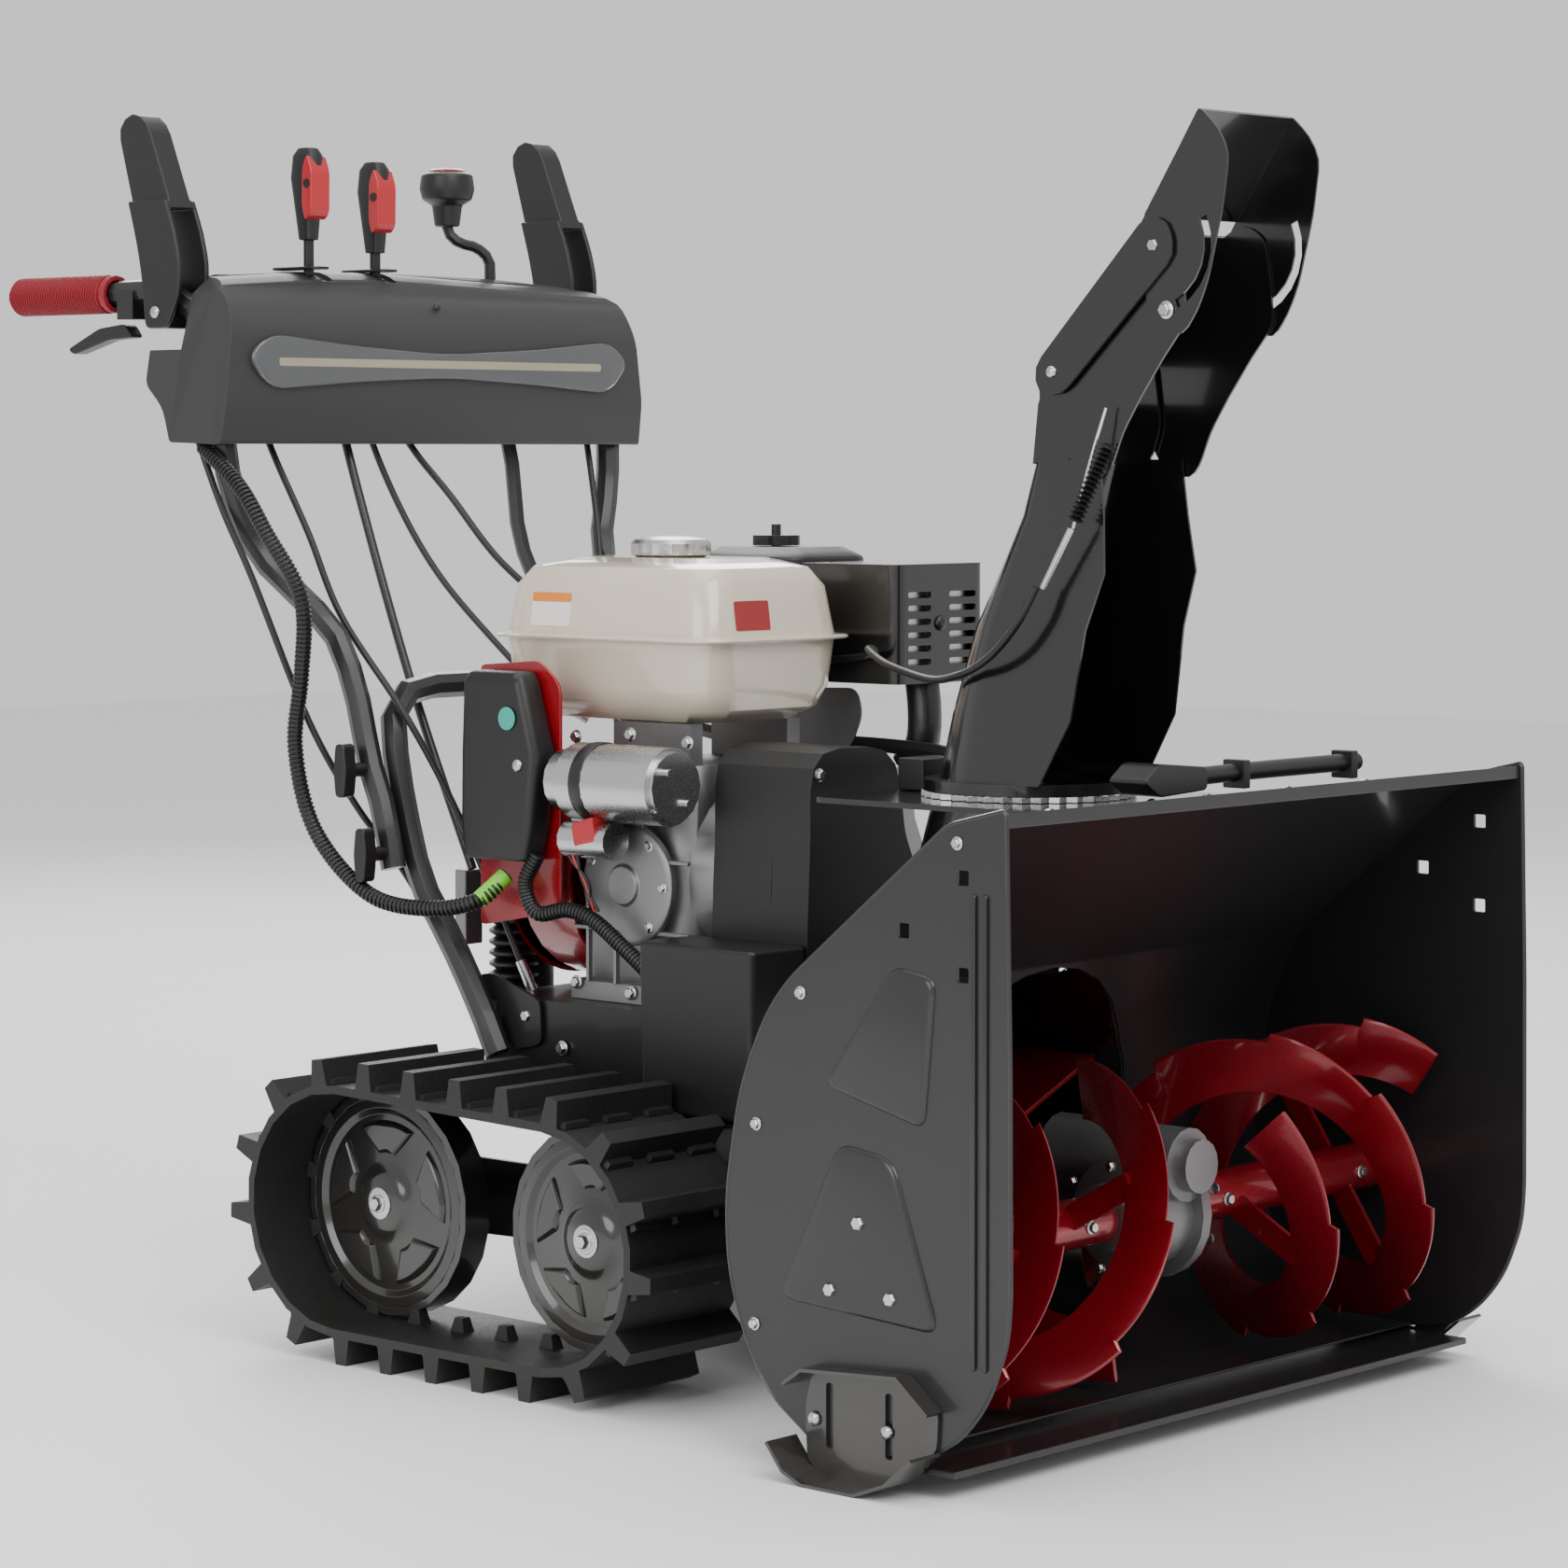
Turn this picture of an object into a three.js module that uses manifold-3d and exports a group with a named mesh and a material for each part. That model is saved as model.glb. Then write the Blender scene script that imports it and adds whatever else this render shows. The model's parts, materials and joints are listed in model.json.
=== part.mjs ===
// Two stage snowblower on rubber tracks: millimetres, +Z up, +X forward (auger side), +Y to the machine's left.
// The origin is on the ground under the middle of the machine's length and width.
import * as THREE from 'three';
import { mergeVertices } from 'three/addons/utils/BufferGeometryUtils.js';
import Module from 'manifold-3d';

const wasm = await Module();
wasm.setup();

// ---------------------------------------------------------------- driving dimensions
const CLEARING_WIDTH = 760;
const PLATE = 3.5;
const SHEET = 2.5;
const GAP = 0.4;
const FRONT_X = 695;
const REAR_X = -695;

const AUGER = { x: 537, z: 182, radius: 143, ribbon: 55, thick: 4, pitch: 300, tube: 22 };
const IMPELLER = { z: 228, radius: 158, drum: 166, rear: 242, front: 384 };
const CHUTE = { x: 408, floor: 549 };
const LOWER_TOP = 850;
const MIDDLE_HINGE = { x: 490, z: 927 };
const TOP_HINGE = { x: 601, z: 1035 };

const TRACK = { inner: 185, outer: 335, belt: 8, lug: 25, lugs: 21 };
const REAR_WHEEL = { x: -160, z: 144, belt: 119 };
const DRIVE_WHEEL = { x: 114, z: 140, belt: 115 };
const WHEEL_Y = 249;

const CRANKSHAFT_Z = 448;
const ENGINE_BASE = 334.6;
const HANDLE_Y = 273;
const GRIP_Z = 1014;

// ---------------------------------------------------------------- materials
function finish(colour, roughness, metalness) {
  return new THREE.MeshStandardMaterial({ color: colour, roughness, metalness });
}
const GRAPHITE = finish(0x3a3a3e, 0.4, 0.5);
const AUGER_RED = finish(0x8c0f1e, 0.3, 0.5);
const COVER_RED = finish(0xa5121f, 0.35, 0.3);
const GLOSS_BLACK = finish(0x0d0d0f, 0.2, 0.4);
const SATIN_BLACK = finish(0x161618, 0.45, 0.3);
const RUBBER = finish(0x17171a, 0.85, 0);
const DARK_PLASTIC = finish(0x45464a, 0.6, 0);
const BLACK_PLASTIC = finish(0x141415, 0.6, 0);
const RED_GRIP = finish(0xb01526, 0.7, 0);
const CREAM = finish(0xe6dfd0, 0.25, 0.1);
const CAST = finish(0xa9acae, 0.45, 0.9);
const ZINC = finish(0xc3c7c9, 0.3, 0.9);
const CLEAR = finish(0xdfe3e6, 0.1, 0);

// ---------------------------------------------------------------- solids and shapes
function solid(geometry) {
  const plain = geometry.clone();
  plain.deleteAttribute('normal');
  plain.deleteAttribute('uv');
  const merged = mergeVertices(plain, 1e-3);
  return new wasm.Manifold(new wasm.Mesh({
    numProp: 3,
    vertProperties: new Float32Array(merged.attributes.position.array),
    triVerts: new Uint32Array(merged.index.array),
  }));
}

function geometryOf(manifold) {
  const mesh = manifold.getMesh();
  const geometry = new THREE.BufferGeometry();
  geometry.setAttribute('position', new THREE.BufferAttribute(new Float32Array(mesh.vertProperties), 3));
  geometry.setIndex(new THREE.BufferAttribute(new Uint32Array(mesh.triVerts), 1));
  return geometry;
}

function join(...geometries) {
  return geometryOf(geometries.map(solid).reduce((whole, piece) => whole.add(piece)));
}

function cut(geometry, ...tools) {
  return geometryOf(tools.map(solid).reduce((whole, tool) => whole.subtract(tool), solid(geometry)));
}

// An outline through [a, b] points; each corner is rounded by radius, or by its own third number.
function outline(points, radius = 0) {
  const path = new THREE.Shape();
  const at = (i) => new THREE.Vector2(...points[(i + points.length) % points.length]);
  points.forEach((point, i) => {
    const corner = at(i);
    const back = at(i - 1).sub(corner);
    const ahead = at(i + 1).sub(corner);
    const wanted = point.length > 2 ? point[2] : radius;
    const reach = Math.min(wanted, back.length() * 0.48, ahead.length() * 0.48);
    const start = corner.clone().addScaledVector(back.normalize(), reach);
    const end = corner.clone().addScaledVector(ahead.normalize(), reach);
    if (i === 0) path.moveTo(start.x, start.y);
    else path.lineTo(start.x, start.y);
    if (reach > 0) path.quadraticCurveTo(corner.x, corner.y, end.x, end.y);
  });
  path.closePath();
  return path;
}

const LOCAL_AXES = {
  X: [[0, 1, 0], [0, 0, 1], [1, 0, 0]],
  Y: [[0, 0, 1], [1, 0, 0], [0, 1, 0]],
  Z: [[1, 0, 0], [0, 1, 0], [0, 0, 1]],
};

function turnTo(geometry, axis) {
  const [a, b, c] = LOCAL_AXES[axis].map((v) => new THREE.Vector3(...v));
  return geometry.applyMatrix4(new THREE.Matrix4().makeBasis(a, b, c));
}

// A shape drawn across an axis and pushed along it from low to high.
// Across X the shape holds (y, z), across Y it holds (z, x), across Z it holds (x, y).
function pushed(axis, shape, low, high, segments = 3) {
  const options = { depth: high - low, bevelEnabled: false, curveSegments: segments };
  const geometry = new THREE.ExtrudeGeometry(shape, options);
  return turnTo(geometry.translate(0, 0, low), axis);
}

// A side profile given as [x, z] points, pushed along Y.
function side(points, low, high, radius = 0, segments = 2) {
  const swapped = points.map(([x, z, ...corner]) => [z, x, ...corner]);
  return pushed('Y', outline(swapped, radius), low, high, segments);
}

function block(x0, x1, y0, y1, z0, z1) {
  const geometry = new THREE.BoxGeometry(x1 - x0, y1 - y0, z1 - z0);
  return geometry.translate((x0 + x1) / 2, (y0 + y1) / 2, (z0 + z1) / 2);
}

// A round bar or cone along an axis, between low and high, about the centre (p, q) of the other two axes.
function bar(axis, radius, low, high, p, q, segments = 20, endRadius = radius) {
  const geometry = new THREE.CylinderGeometry(endRadius, radius, high - low, segments);
  geometry.translate(0, (low + high) / 2, 0);
  if (axis === 'X') return geometry.rotateZ(-Math.PI / 2).translate(0, p, q);
  if (axis === 'Y') return geometry.translate(p, 0, q);
  return geometry.rotateX(Math.PI / 2).translate(p, q, 0);
}

// A turned solid about the Y axis through (x, z); the profile is a closed loop of [radius, y] points.
function turned(profile, x, z, segments = 32) {
  const points = [...profile, profile[0]].map(([r, y]) => new THREE.Vector2(r, y));
  return new THREE.LatheGeometry(points, segments).translate(x, 0, z);
}

function rod(points, radius, sides = 10, steps = 24, tension = 0.5) {
  const path = new THREE.CatmullRomCurve3(points.map((p) => new THREE.Vector3(...p)), false, 'centripetal', tension);
  const section = new THREE.Shape();
  for (let i = 0; i <= sides; i += 1) {
    const angle = (i / sides) * Math.PI * 2;
    if (i === 0) section.moveTo(radius, 0);
    else section.lineTo(radius * Math.cos(angle), radius * Math.sin(angle));
  }
  return new THREE.ExtrudeGeometry(section, { extrudePath: path, steps, bevelEnabled: false });
}

// A closed skin between rings of points that all hold the same number of points.
function loft(rings) {
  const count = rings[0].length;
  const positions = [];
  const index = [];
  rings.flat().forEach((p) => positions.push(...p));
  for (let r = 0; r < rings.length - 1; r += 1) {
    for (let i = 0; i < count; i += 1) {
      const a = r * count + i;
      const b = r * count + ((i + 1) % count);
      index.push(a, b, b + count, a, b + count, a + count);
    }
  }
  const last = (rings.length - 1) * count;
  for (let i = 1; i < count - 1; i += 1) {
    index.push(0, i + 1, i);
    index.push(last, last + i, last + i + 1);
  }
  const geometry = new THREE.BufferGeometry();
  geometry.setAttribute('position', new THREE.Float32BufferAttribute(positions, 3));
  geometry.setIndex(index);
  return geometry;
}

// A rounded rectangle ring at height z, counter-clockwise seen from above.
function roundedRing(x0, x1, y0, y1, z, radius, steps = 4) {
  const ring = [];
  const corners = [[x1, y1, 0], [x0, y1, 1], [x0, y0, 2], [x1, y0, 3]];
  corners.forEach(([x, y, quarter]) => {
    const cx = x + (quarter === 1 || quarter === 2 ? radius : -radius);
    const cy = y + (quarter > 1 ? radius : -radius);
    for (let i = 0; i <= steps; i += 1) {
      const angle = (quarter + i / steps) * (Math.PI / 2);
      ring.push([cx + radius * Math.cos(angle), cy + radius * Math.sin(angle), z]);
    }
  });
  return ring;
}

// The outline of a folded strip: the outer [x, z] points and the same points moved inwards by thick.
function folded(points, thick) {
  const inner = points.map(([x, z], i) => {
    const before = points[Math.max(i - 1, 0)];
    const after = points[Math.min(i + 1, points.length - 1)];
    const into = new THREE.Vector2(x - before[0], z - before[1]).normalize();
    const out = new THREE.Vector2(after[0] - x, after[1] - z).normalize();
    const run = into.clone().add(out).normalize();
    const reference = into.lengthSq() > 0 ? into : out;
    const stretch = thick / Math.max(Math.abs(run.dot(reference)), 0.4);
    return [x - run.y * stretch, z + run.x * stretch];
  });
  return [...points, ...inner.reverse()];
}

const part = new THREE.Group();

function add(name, geometry, material) {
  const mesh = new THREE.Mesh(geometry, material);
  mesh.name = name;
  part.add(mesh);
  return mesh;
}

const SIDES = [['right', -1], ['left', 1]];

// Mirrors a range of distances from the middle plane to the right (-1) or the left (1) side.
function span(hand, near, far) {
  return hand > 0 ? [near, far] : [-far, -near];
}

function mirrored(geometry, hand) {
  if (hand > 0) return geometry;
  const manifold = solid(geometry);
  const mesh = manifold.getMesh();
  const flipped = new THREE.BufferGeometry();
  const positions = new Float32Array(mesh.vertProperties);
  for (let i = 1; i < positions.length; i += 3) positions[i] = -positions[i];
  const index = new Uint32Array(mesh.triVerts);
  for (let i = 0; i < index.length; i += 3) [index[i], index[i + 1]] = [index[i + 1], index[i]];
  flipped.setAttribute('position', new THREE.BufferAttribute(positions, 3));
  flipped.setIndex(new THREE.BufferAttribute(index, 1));
  return flipped;
}

// ---------------------------------------------------------------- auger housing
const HALF = CLEARING_WIDTH / 2;
const PLATE_OUTLINE = [
  [FRONT_X - 5, 569, 6], [628, 554, 12], [437, 400, 60], [401, 320, 30], [384, 224, 30], [388, 157, 30],
  [410, 99, 30], [435, 62, 20], [490, 26, 14], [606, 32, 16], [643, 53, 20], [673, 88, 24],
  [692, 138, 30], [FRONT_X, 172, 20], [FRONT_X - 1, 365, 10],
];
const HOUSING_PROFILE = [
  [688, 554], [688, 566], [629, 551], [439, 398], [404, 319], [386, 224], [390, 157], [412, 100],
  [437, 63], [490, 29], [572, 29],
];

function squareHole(x, z, turn) {
  const reach = 5;
  const points = [0, 1, 2, 3].map((k) => {
    const angle = turn + (k * Math.PI) / 2;
    return [x + reach * 1.2 * Math.cos(angle), z + reach * 1.2 * Math.sin(angle)];
  });
  return side(points, -HALF - 5, HALF + 5);
}

function sidePlate(hand) {
  const plate = side(PLATE_OUTLINE, ...span(hand, HALF - PLATE, HALF), 20, 3);
  return cut(plate, squareHole(645, 512, 0.2), squareHole(582, 465, 0), squareHole(645, 433, Math.PI / 4));
}

function housingBack() {
  const wrap = side(folded(HOUSING_PROFILE, SHEET), -HALF + PLATE + GAP, HALF - PLATE - GAP);
  const mouth = bar('X', IMPELLER.drum - 3, 340, 470, 0, IMPELLER.z, 26);
  return cut(wrap, mouth);
}

// The whole space the housing takes, a little larger, to keep what is bolted behind it clear.
function housingSpace() {
  const room = 1;
  const points = HOUSING_PROFILE.slice(1).map(([x, z]) => [x - room, z + (z > 300 ? room : -room)]);
  points[0][0] += 40;
  points.push([760, 20]);
  return side(points, -HALF - 20, HALF + 20);
}

function impellerDrum() {
  const inside = bar('X', IMPELLER.drum - 3, IMPELLER.rear + 4, 460, 0, IMPELLER.z, 26);
  const shell = cut(
    bar('X', IMPELLER.drum, IMPELLER.rear, 450, 0, IMPELLER.z, 26),
    inside,
    bar('X', 14, IMPELLER.rear - 5, IMPELLER.rear + 10, 0, IMPELLER.z, 16),
  );
  const neckOuter = loft([
    roundedRing(268, 410, -78, 78, 360, 60, 3),
    roundedRing(322, 490, -84, 84, CHUTE.floor - 8, 78, 3),
  ]);
  const neckInner = loft([
    roundedRing(270, 408, -75, 75, 340, 57, 3),
    roundedRing(326, 486, -80, 80, CHUTE.floor, 74, 3),
  ]);
  const flangeShape = outline([[268, -140], [528, -140], [528, 140], [268, 140]], 14);
  const flange = pushed('Z', flangeShape, CHUTE.floor - 9, CHUTE.floor - 4, 2);
  const throat = bar('Z', 75, CHUTE.floor - 20, CHUTE.floor, CHUTE.x, 0, 24);
  return cut(join(shell, neckOuter, flange), neckInner, throat, inside, housingSpace());
}

function skid(hand) {
  const wall = side(
    [[480, 14], [500, 3], [565, 3], [600, 22], [621, 42], [623, 73], [592, 101], [487, 94], [478, 60]],
    ...span(hand, HALF + GAP, HALF + GAP + 3),
    6,
  );
  const runner = [[463, 31], [481, 9], [503, 0], [560, 0], [594, 13], [623, 38]];
  const shoe = side(folded(runner, 3), ...span(hand, HALF + GAP, HALF + 38));
  const lip = side(folded([[467, 77], [487, 91], [590, 98], [623, 72]], 3), ...span(hand, HALF + GAP, HALF + 20));
  const slots = [505, 570].map((x) => {
    const slot = [[x - 4, 27], [x + 4, 27], [x + 4, 82], [x - 4, 82]];
    return side(slot, ...span(hand, HALF - 5, HALF + 10), 3, 2);
  });
  return cut(join(wall, shoe, lip), ...slots);
}

SIDES.forEach(([name, hand]) => {
  add(`side_plate_${name}`, sidePlate(hand), GRAPHITE);
  add(`skid_shoe_${name}`, skid(hand), GLOSS_BLACK);
});
add('housing_back', housingBack(), GRAPHITE);
add('impeller_drum', impellerDrum(), GLOSS_BLACK);
add('scraper_bar', block(540, 634, -HALF + PLATE + GAP, HALF - PLATE - GAP, 19, 25), GRAPHITE);

// ---------------------------------------------------------------- augers, gearbox and impeller
// One flight: a flat ribbon on edge that winds outwards from the gearbox, with a stepped outer edge.
function flight(startAngle, startY, endY) {
  const steps = 32;
  const turn = ((endY - startY) / AUGER.pitch) * 360;
  const rings = [];
  for (let i = 0; i <= steps; i += 1) {
    const along = i / steps;
    const angle = ((startAngle + turn * along) * Math.PI) / 180;
    const tooth = (along * 5.333) % 1;
    const outer = AUGER.radius - 9 * (1 - tooth) * (i < steps ? 1 : 0);
    const inner = AUGER.radius - AUGER.ribbon;
    const y = startY + (endY - startY) * along;
    const place = (radius, dy) => [
      AUGER.x + radius * Math.cos(angle),
      y + dy,
      AUGER.z - radius * Math.sin(angle),
    ];
    rings.push([place(inner, 0), place(inner, AUGER.thick), place(outer, AUGER.thick), place(outer, 0)]);
  }
  return loft(rings);
}

function spoke(angleDegrees, y) {
  const angle = (angleDegrees * Math.PI) / 180;
  const length = AUGER.radius - AUGER.ribbon + 18;
  const geometry = new THREE.BoxGeometry(length, 24, 5);
  geometry.translate(length / 2, 0, 0).rotateX(0.5).rotateY(angle);
  return geometry.translate(AUGER.x, y, AUGER.z);
}

function auger(hand, phase) {
  const startY = 64;
  const endY = 352;
  const tube = cut(
    bar('Y', AUGER.tube, 61, 362, AUGER.x, AUGER.z, 16),
    bar('Y', 13, 50, 370, AUGER.x, AUGER.z, 12),
  );
  const pieces = [tube];
  [0, 180].forEach((offset) => {
    const first = phase + offset;
    pieces.push(flight(first, startY, endY));
    [0.2, 0.8].forEach((share) => {
      const y = startY + (endY - startY) * share + AUGER.thick / 2;
      const angle = first + (((endY - startY) * share) / AUGER.pitch) * 360;
      pieces.push(spoke(angle, y));
    });
  });
  const whole = join(...pieces);
  return mirrored(cut(whole, bar('Y', 13, 40, 380, AUGER.x, AUGER.z, 12)), hand);
}

function augerGearbox() {
  const body = bar('Y', 50, -34, 34, AUGER.x, AUGER.z, 20);
  const flange = bar('Y', 62, 10, 22, AUGER.x, AUGER.z, 20);
  const hubs = bar('Y', 30, -59, 59, AUGER.x, AUGER.z, 16);
  const wormCase = bar('X', 33, 446, 590, 0, IMPELLER.z, 16);
  const nose = bar('X', 24, 590, 604, 0, IMPELLER.z, 16);
  const whole = join(body, flange, hubs, wormCase, nose);
  const shaftRoom = bar('Y', 13, -70, 70, AUGER.x, AUGER.z, 12);
  return cut(whole, shaftRoom, bar('X', 13, 430, 560, 0, IMPELLER.z, 12));
}

function impeller() {
  const hub = bar('X', 26, 272, 380, 0, IMPELLER.z, 16);
  const shaft = bar('X', 12, 137, 552, 0, IMPELLER.z, 12);
  const blades = [0, 1, 2, 3].map((k) => {
    const blade = new THREE.BoxGeometry(88, IMPELLER.radius - 6, 5);
    blade.translate(0, IMPELLER.radius / 2 + 3, 0).rotateX((k * Math.PI) / 2 + 0.4);
    return blade.translate(326, 0, IMPELLER.z);
  });
  return join(hub, shaft, pulley(78, 140, 176, IMPELLER.z, 11), ...blades);
}

add('auger_right', auger(-1, 261), AUGER_RED);
add('auger_left', auger(1, 320), AUGER_RED);
add('auger_shaft', bar('Y', 12.4, -HALF + PLATE + 1, HALF - PLATE - 1, AUGER.x, AUGER.z, 12), ZINC);
add('auger_gearbox', augerGearbox(), CAST);
add('impeller', impeller(), AUGER_RED);

// ---------------------------------------------------------------- chute
// A chute section at height z: flat sides, open towards +X, with round rear corners.
function chuteRing(rear, front, half, radius, z) {
  const ring = [];
  for (let i = 0; i <= 4; i += 1) {
    const angle = Math.PI / 2 + (i / 4) * (Math.PI / 2);
    ring.push([rear + radius + radius * Math.cos(angle), half - radius + radius * Math.sin(angle), z]);
  }
  for (let i = 0; i <= 4; i += 1) {
    const angle = Math.PI + (i / 4) * (Math.PI / 2);
    ring.push([rear + radius + radius * Math.cos(angle), -half + radius + radius * Math.sin(angle), z]);
  }
  ring.push([front, -half, z], [front, half, z]);
  return ring;
}

const CHUTE_SECTIONS = [
  { z: 561, rear: 330, front: 482, half: 79, radius: 72 },
  { z: 620, rear: 350, front: 516, half: 77, radius: 60 },
  { z: 700, rear: 384, front: 529, half: 73, radius: 42 },
  { z: 750, rear: 414, front: 546, half: 68, radius: 30 },
  { z: 800, rear: 442, front: 541, half: 62.5, radius: 18 },
  { z: LOWER_TOP, rear: 460, front: 536, half: 60, radius: 10 },
];

function lowerChute() {
  const wall = 2.5;
  const outer = loft(CHUTE_SECTIONS.map((s) => chuteRing(s.rear, s.front, s.half, s.radius, s.z)));
  const inside = CHUTE_SECTIONS.map((s, i) => {
    const z = i === 0 ? s.z - 5 : s.z + (i === CHUTE_SECTIONS.length - 1 ? 5 : 0);
    return chuteRing(s.rear + wall, s.front + 20, s.half - wall, s.radius - wall, z);
  });
  const base = cut(bar('Z', 96, 551, 561.5, CHUTE.x, 0, 28), bar('Z', 74, 540, 570, CHUTE.x, 0, 24));
  const ears = [-1, 1].map((hand) => side(
    [[460, 846], [500, 846], [512, 880], [504, 938], [480, 940], [466, 900]],
    ...span(hand, 57.5, 60),
    8,
  ));
  const backTop = side([[460, 846], [466, 900], [468.5, 900], [463, 846]], -60, 60);
  return join(cut(outer, loft(inside)), base, ...ears, backTop);
}

function middleDeflector() {
  const near = 62.5;
  const thick = 2.5;
  const wallOutline = [
    [474, 936], [470, 905], [512, 842], [541, 832], [552, 844], [564, 874], [583, 904], [609, 940],
    [632, 968], [630, 1000], [622, 1046], [600, 1058], [578, 1048],
  ];
  const walls = [-1, 1].map((hand) => side(wallOutline, ...span(hand, near, near + thick), 9));
  const back = side([[474, 936], [580, 1048], [582, 1046], [476.5, 934]], -near - 1, near + 1);
  const arms = [-1, 1].map((hand) => side(
    [[470, 932], [474, 908], [500, 906], [625, 1026], [618, 1056], [594, 1062]],
    ...span(hand, near + thick + 0.4 + 3, near + thick + 6.4),
    12,
  ));
  const bosses = [-1, 1].flatMap((hand) => [
    bar('Y', 9, ...span(hand, near, near + thick + 5), MIDDLE_HINGE.x, MIDDLE_HINGE.z, 14),
  ]);
  return join(...walls, back, ...arms, ...bosses);
}

function topDeflector() {
  const near = 65.5;
  const thick = 2.3;
  const wallOutline = [
    [576, 1040], [583, 1008], [604, 964], [630, 956], [646, 978], [657, 1003], [672, 1063],
    [679, 1112], [668, 1133], [650, 1150], [646, 1150],
  ];
  const walls = [-1, 1].map((hand) => side(wallOutline, ...span(hand, near, near + thick), 10));
  const back = side([[588, 1062], [646, 1151], [649, 1149], [590.5, 1060]], -near - 1, near + 1);
  const slots = [-1, 1].map((hand) => {
    const points = [];
    for (let i = 0; i <= 6; i += 1) points.push(arcPoint(60, -66 + i * 15));
    for (let i = 6; i >= 0; i -= 1) points.push(arcPoint(52, -66 + i * 15));
    return side(points, ...span(hand, near - 5, near + 8));
  });
  return cut(join(...walls, back), ...slots);
}

function arcPoint(radius, degrees) {
  const angle = (degrees * Math.PI) / 180;
  return [TOP_HINGE.x + radius * Math.cos(angle), TOP_HINGE.z + radius * Math.sin(angle)];
}

function chuteRingGear() {
  const teeth = 36;
  const shape = new THREE.Shape();
  for (let i = 0; i < teeth * 2; i += 1) {
    const angle = (i / (teeth * 2)) * Math.PI * 2;
    const radius = i % 2 ? 98 : 92;
    if (i === 0) shape.moveTo(radius, 0);
    else shape.lineTo(radius * Math.cos(angle), radius * Math.sin(angle));
  }
  shape.closePath();
  const disc = pushed('Z', shape, CHUTE.floor - 3.6, 550.6).translate(CHUTE.x, 0, 0);
  return cut(disc, bar('Z', 74, 530, 560, CHUTE.x, 0, 24));
}

// The worm housing stays within the sector behind the chute that the turning chute never sweeps.
function chuteDrive() {
  const body = block(CHUTE.x - 134, CHUTE.x - 103, -26, 26, CHUTE.floor - 3.6, CHUTE.floor + 26);
  return join(body, bar('Y', 11, 20, 58, CHUTE.x - 118, CHUTE.floor + 11, 16));
}

add('chute_ring_gear', chuteRingGear(), ZINC);
add('chute_lower', lowerChute(), GLOSS_BLACK);
add('chute_middle', middleDeflector(), GLOSS_BLACK);
add('chute_top', topDeflector(), GLOSS_BLACK);
add('chute_drive', chuteDrive(), BLACK_PLASTIC);

// ---------------------------------------------------------------- frame, transmission and belt drive
function transmissionFrame() {
  const deck = block(-143, 87, -150, 150, 331, 334);
  const walls = [-1, 1].flatMap((hand) => [
    side([[-143, 334], [-143, 262], [-100, 215], [87, 215], [87, 334]], ...span(hand, 147, 150)),
    side([[84, 334], [84, 110], [241, 110], [241, 320], [200, 334]], ...span(hand, 87, 90)),
  ]);
  const rear = block(-143, -140, -149, 149, 262, 333);
  const bulkhead = cut(block(84, 87, -149, 149, 215, 333), block(80, 90, -60, 60, 200, 320));
  const shelf = block(92, 228, -178, -88, 241, 244);
  const nose = cut(block(238, 241, -89, 89, 112, 322), bar('X', 16, 230, 250, 0, IMPELLER.z, 20));
  const axleRoom = bar('Y', 13.5, -160, 160, DRIVE_WHEEL.x, DRIVE_WHEEL.z, 20);
  return cut(join(deck, rear, bulkhead, nose, shelf, ...walls), axleRoom);
}

function transmissionCase() {
  const profile = [[-60, 300], [80, 300], [80, 190], [130, 163], [135, 140], [128, 110], [95, 98], [-60, 98]];
  const casting = side(profile, -84, 84, 12);
  return cut(casting, bar('Y', 13.5, -90, 90, DRIVE_WHEEL.x, DRIVE_WHEEL.z, 20));
}

function pulley(radius, x0, x1, z, bore) {
  const middle = (x0 + x1) / 2;
  const discs = [
    bar('X', radius, x0, x0 + 4, 0, z, 20),
    bar('X', radius - 9, x0 + 3, x1 - 3, 0, z, 20),
    bar('X', radius, x1 - 4, x1, 0, z, 20),
    bar('X', radius, middle - 2, middle + 2, 0, z, 20),
  ];
  return cut(join(...discs), bar('X', bore, x0 - 5, x1 + 5, 0, z, 12));
}

function hullOutline(a, b, steps) {
  const dx = b.x - a.x;
  const dz = b.z - a.z;
  const facing = Math.atan2(dz, dx);
  const lean = Math.acos((a.r - b.r) / Math.hypot(dx, dz));
  const points = [];
  for (let i = 0; i <= steps; i += 1) {
    const angle = facing + lean + (i / steps) * (2 * Math.PI - 2 * lean);
    points.push([a.x + a.r * Math.cos(angle), a.z + a.r * Math.sin(angle)]);
  }
  for (let i = 0; i <= steps; i += 1) {
    const angle = facing - lean + (i / steps) * 2 * lean;
    points.push([b.x + b.r * Math.cos(angle), b.z + b.r * Math.sin(angle)]);
  }
  return points;
}

function beltLoop(x0, x1) {
  const lower = { x: 0, z: IMPELLER.z, r: 77 };
  const upper = { x: 0, z: CRANKSHAFT_Z, r: 42 };
  const outer = outline(hullOutline(lower, upper, 14));
  lower.r -= 6.5;
  upper.r -= 6.5;
  const inner = outline(hullOutline(lower, upper, 14));
  outer.holes.push(inner);
  return pushed('X', outer, x0, x1);
}

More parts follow.
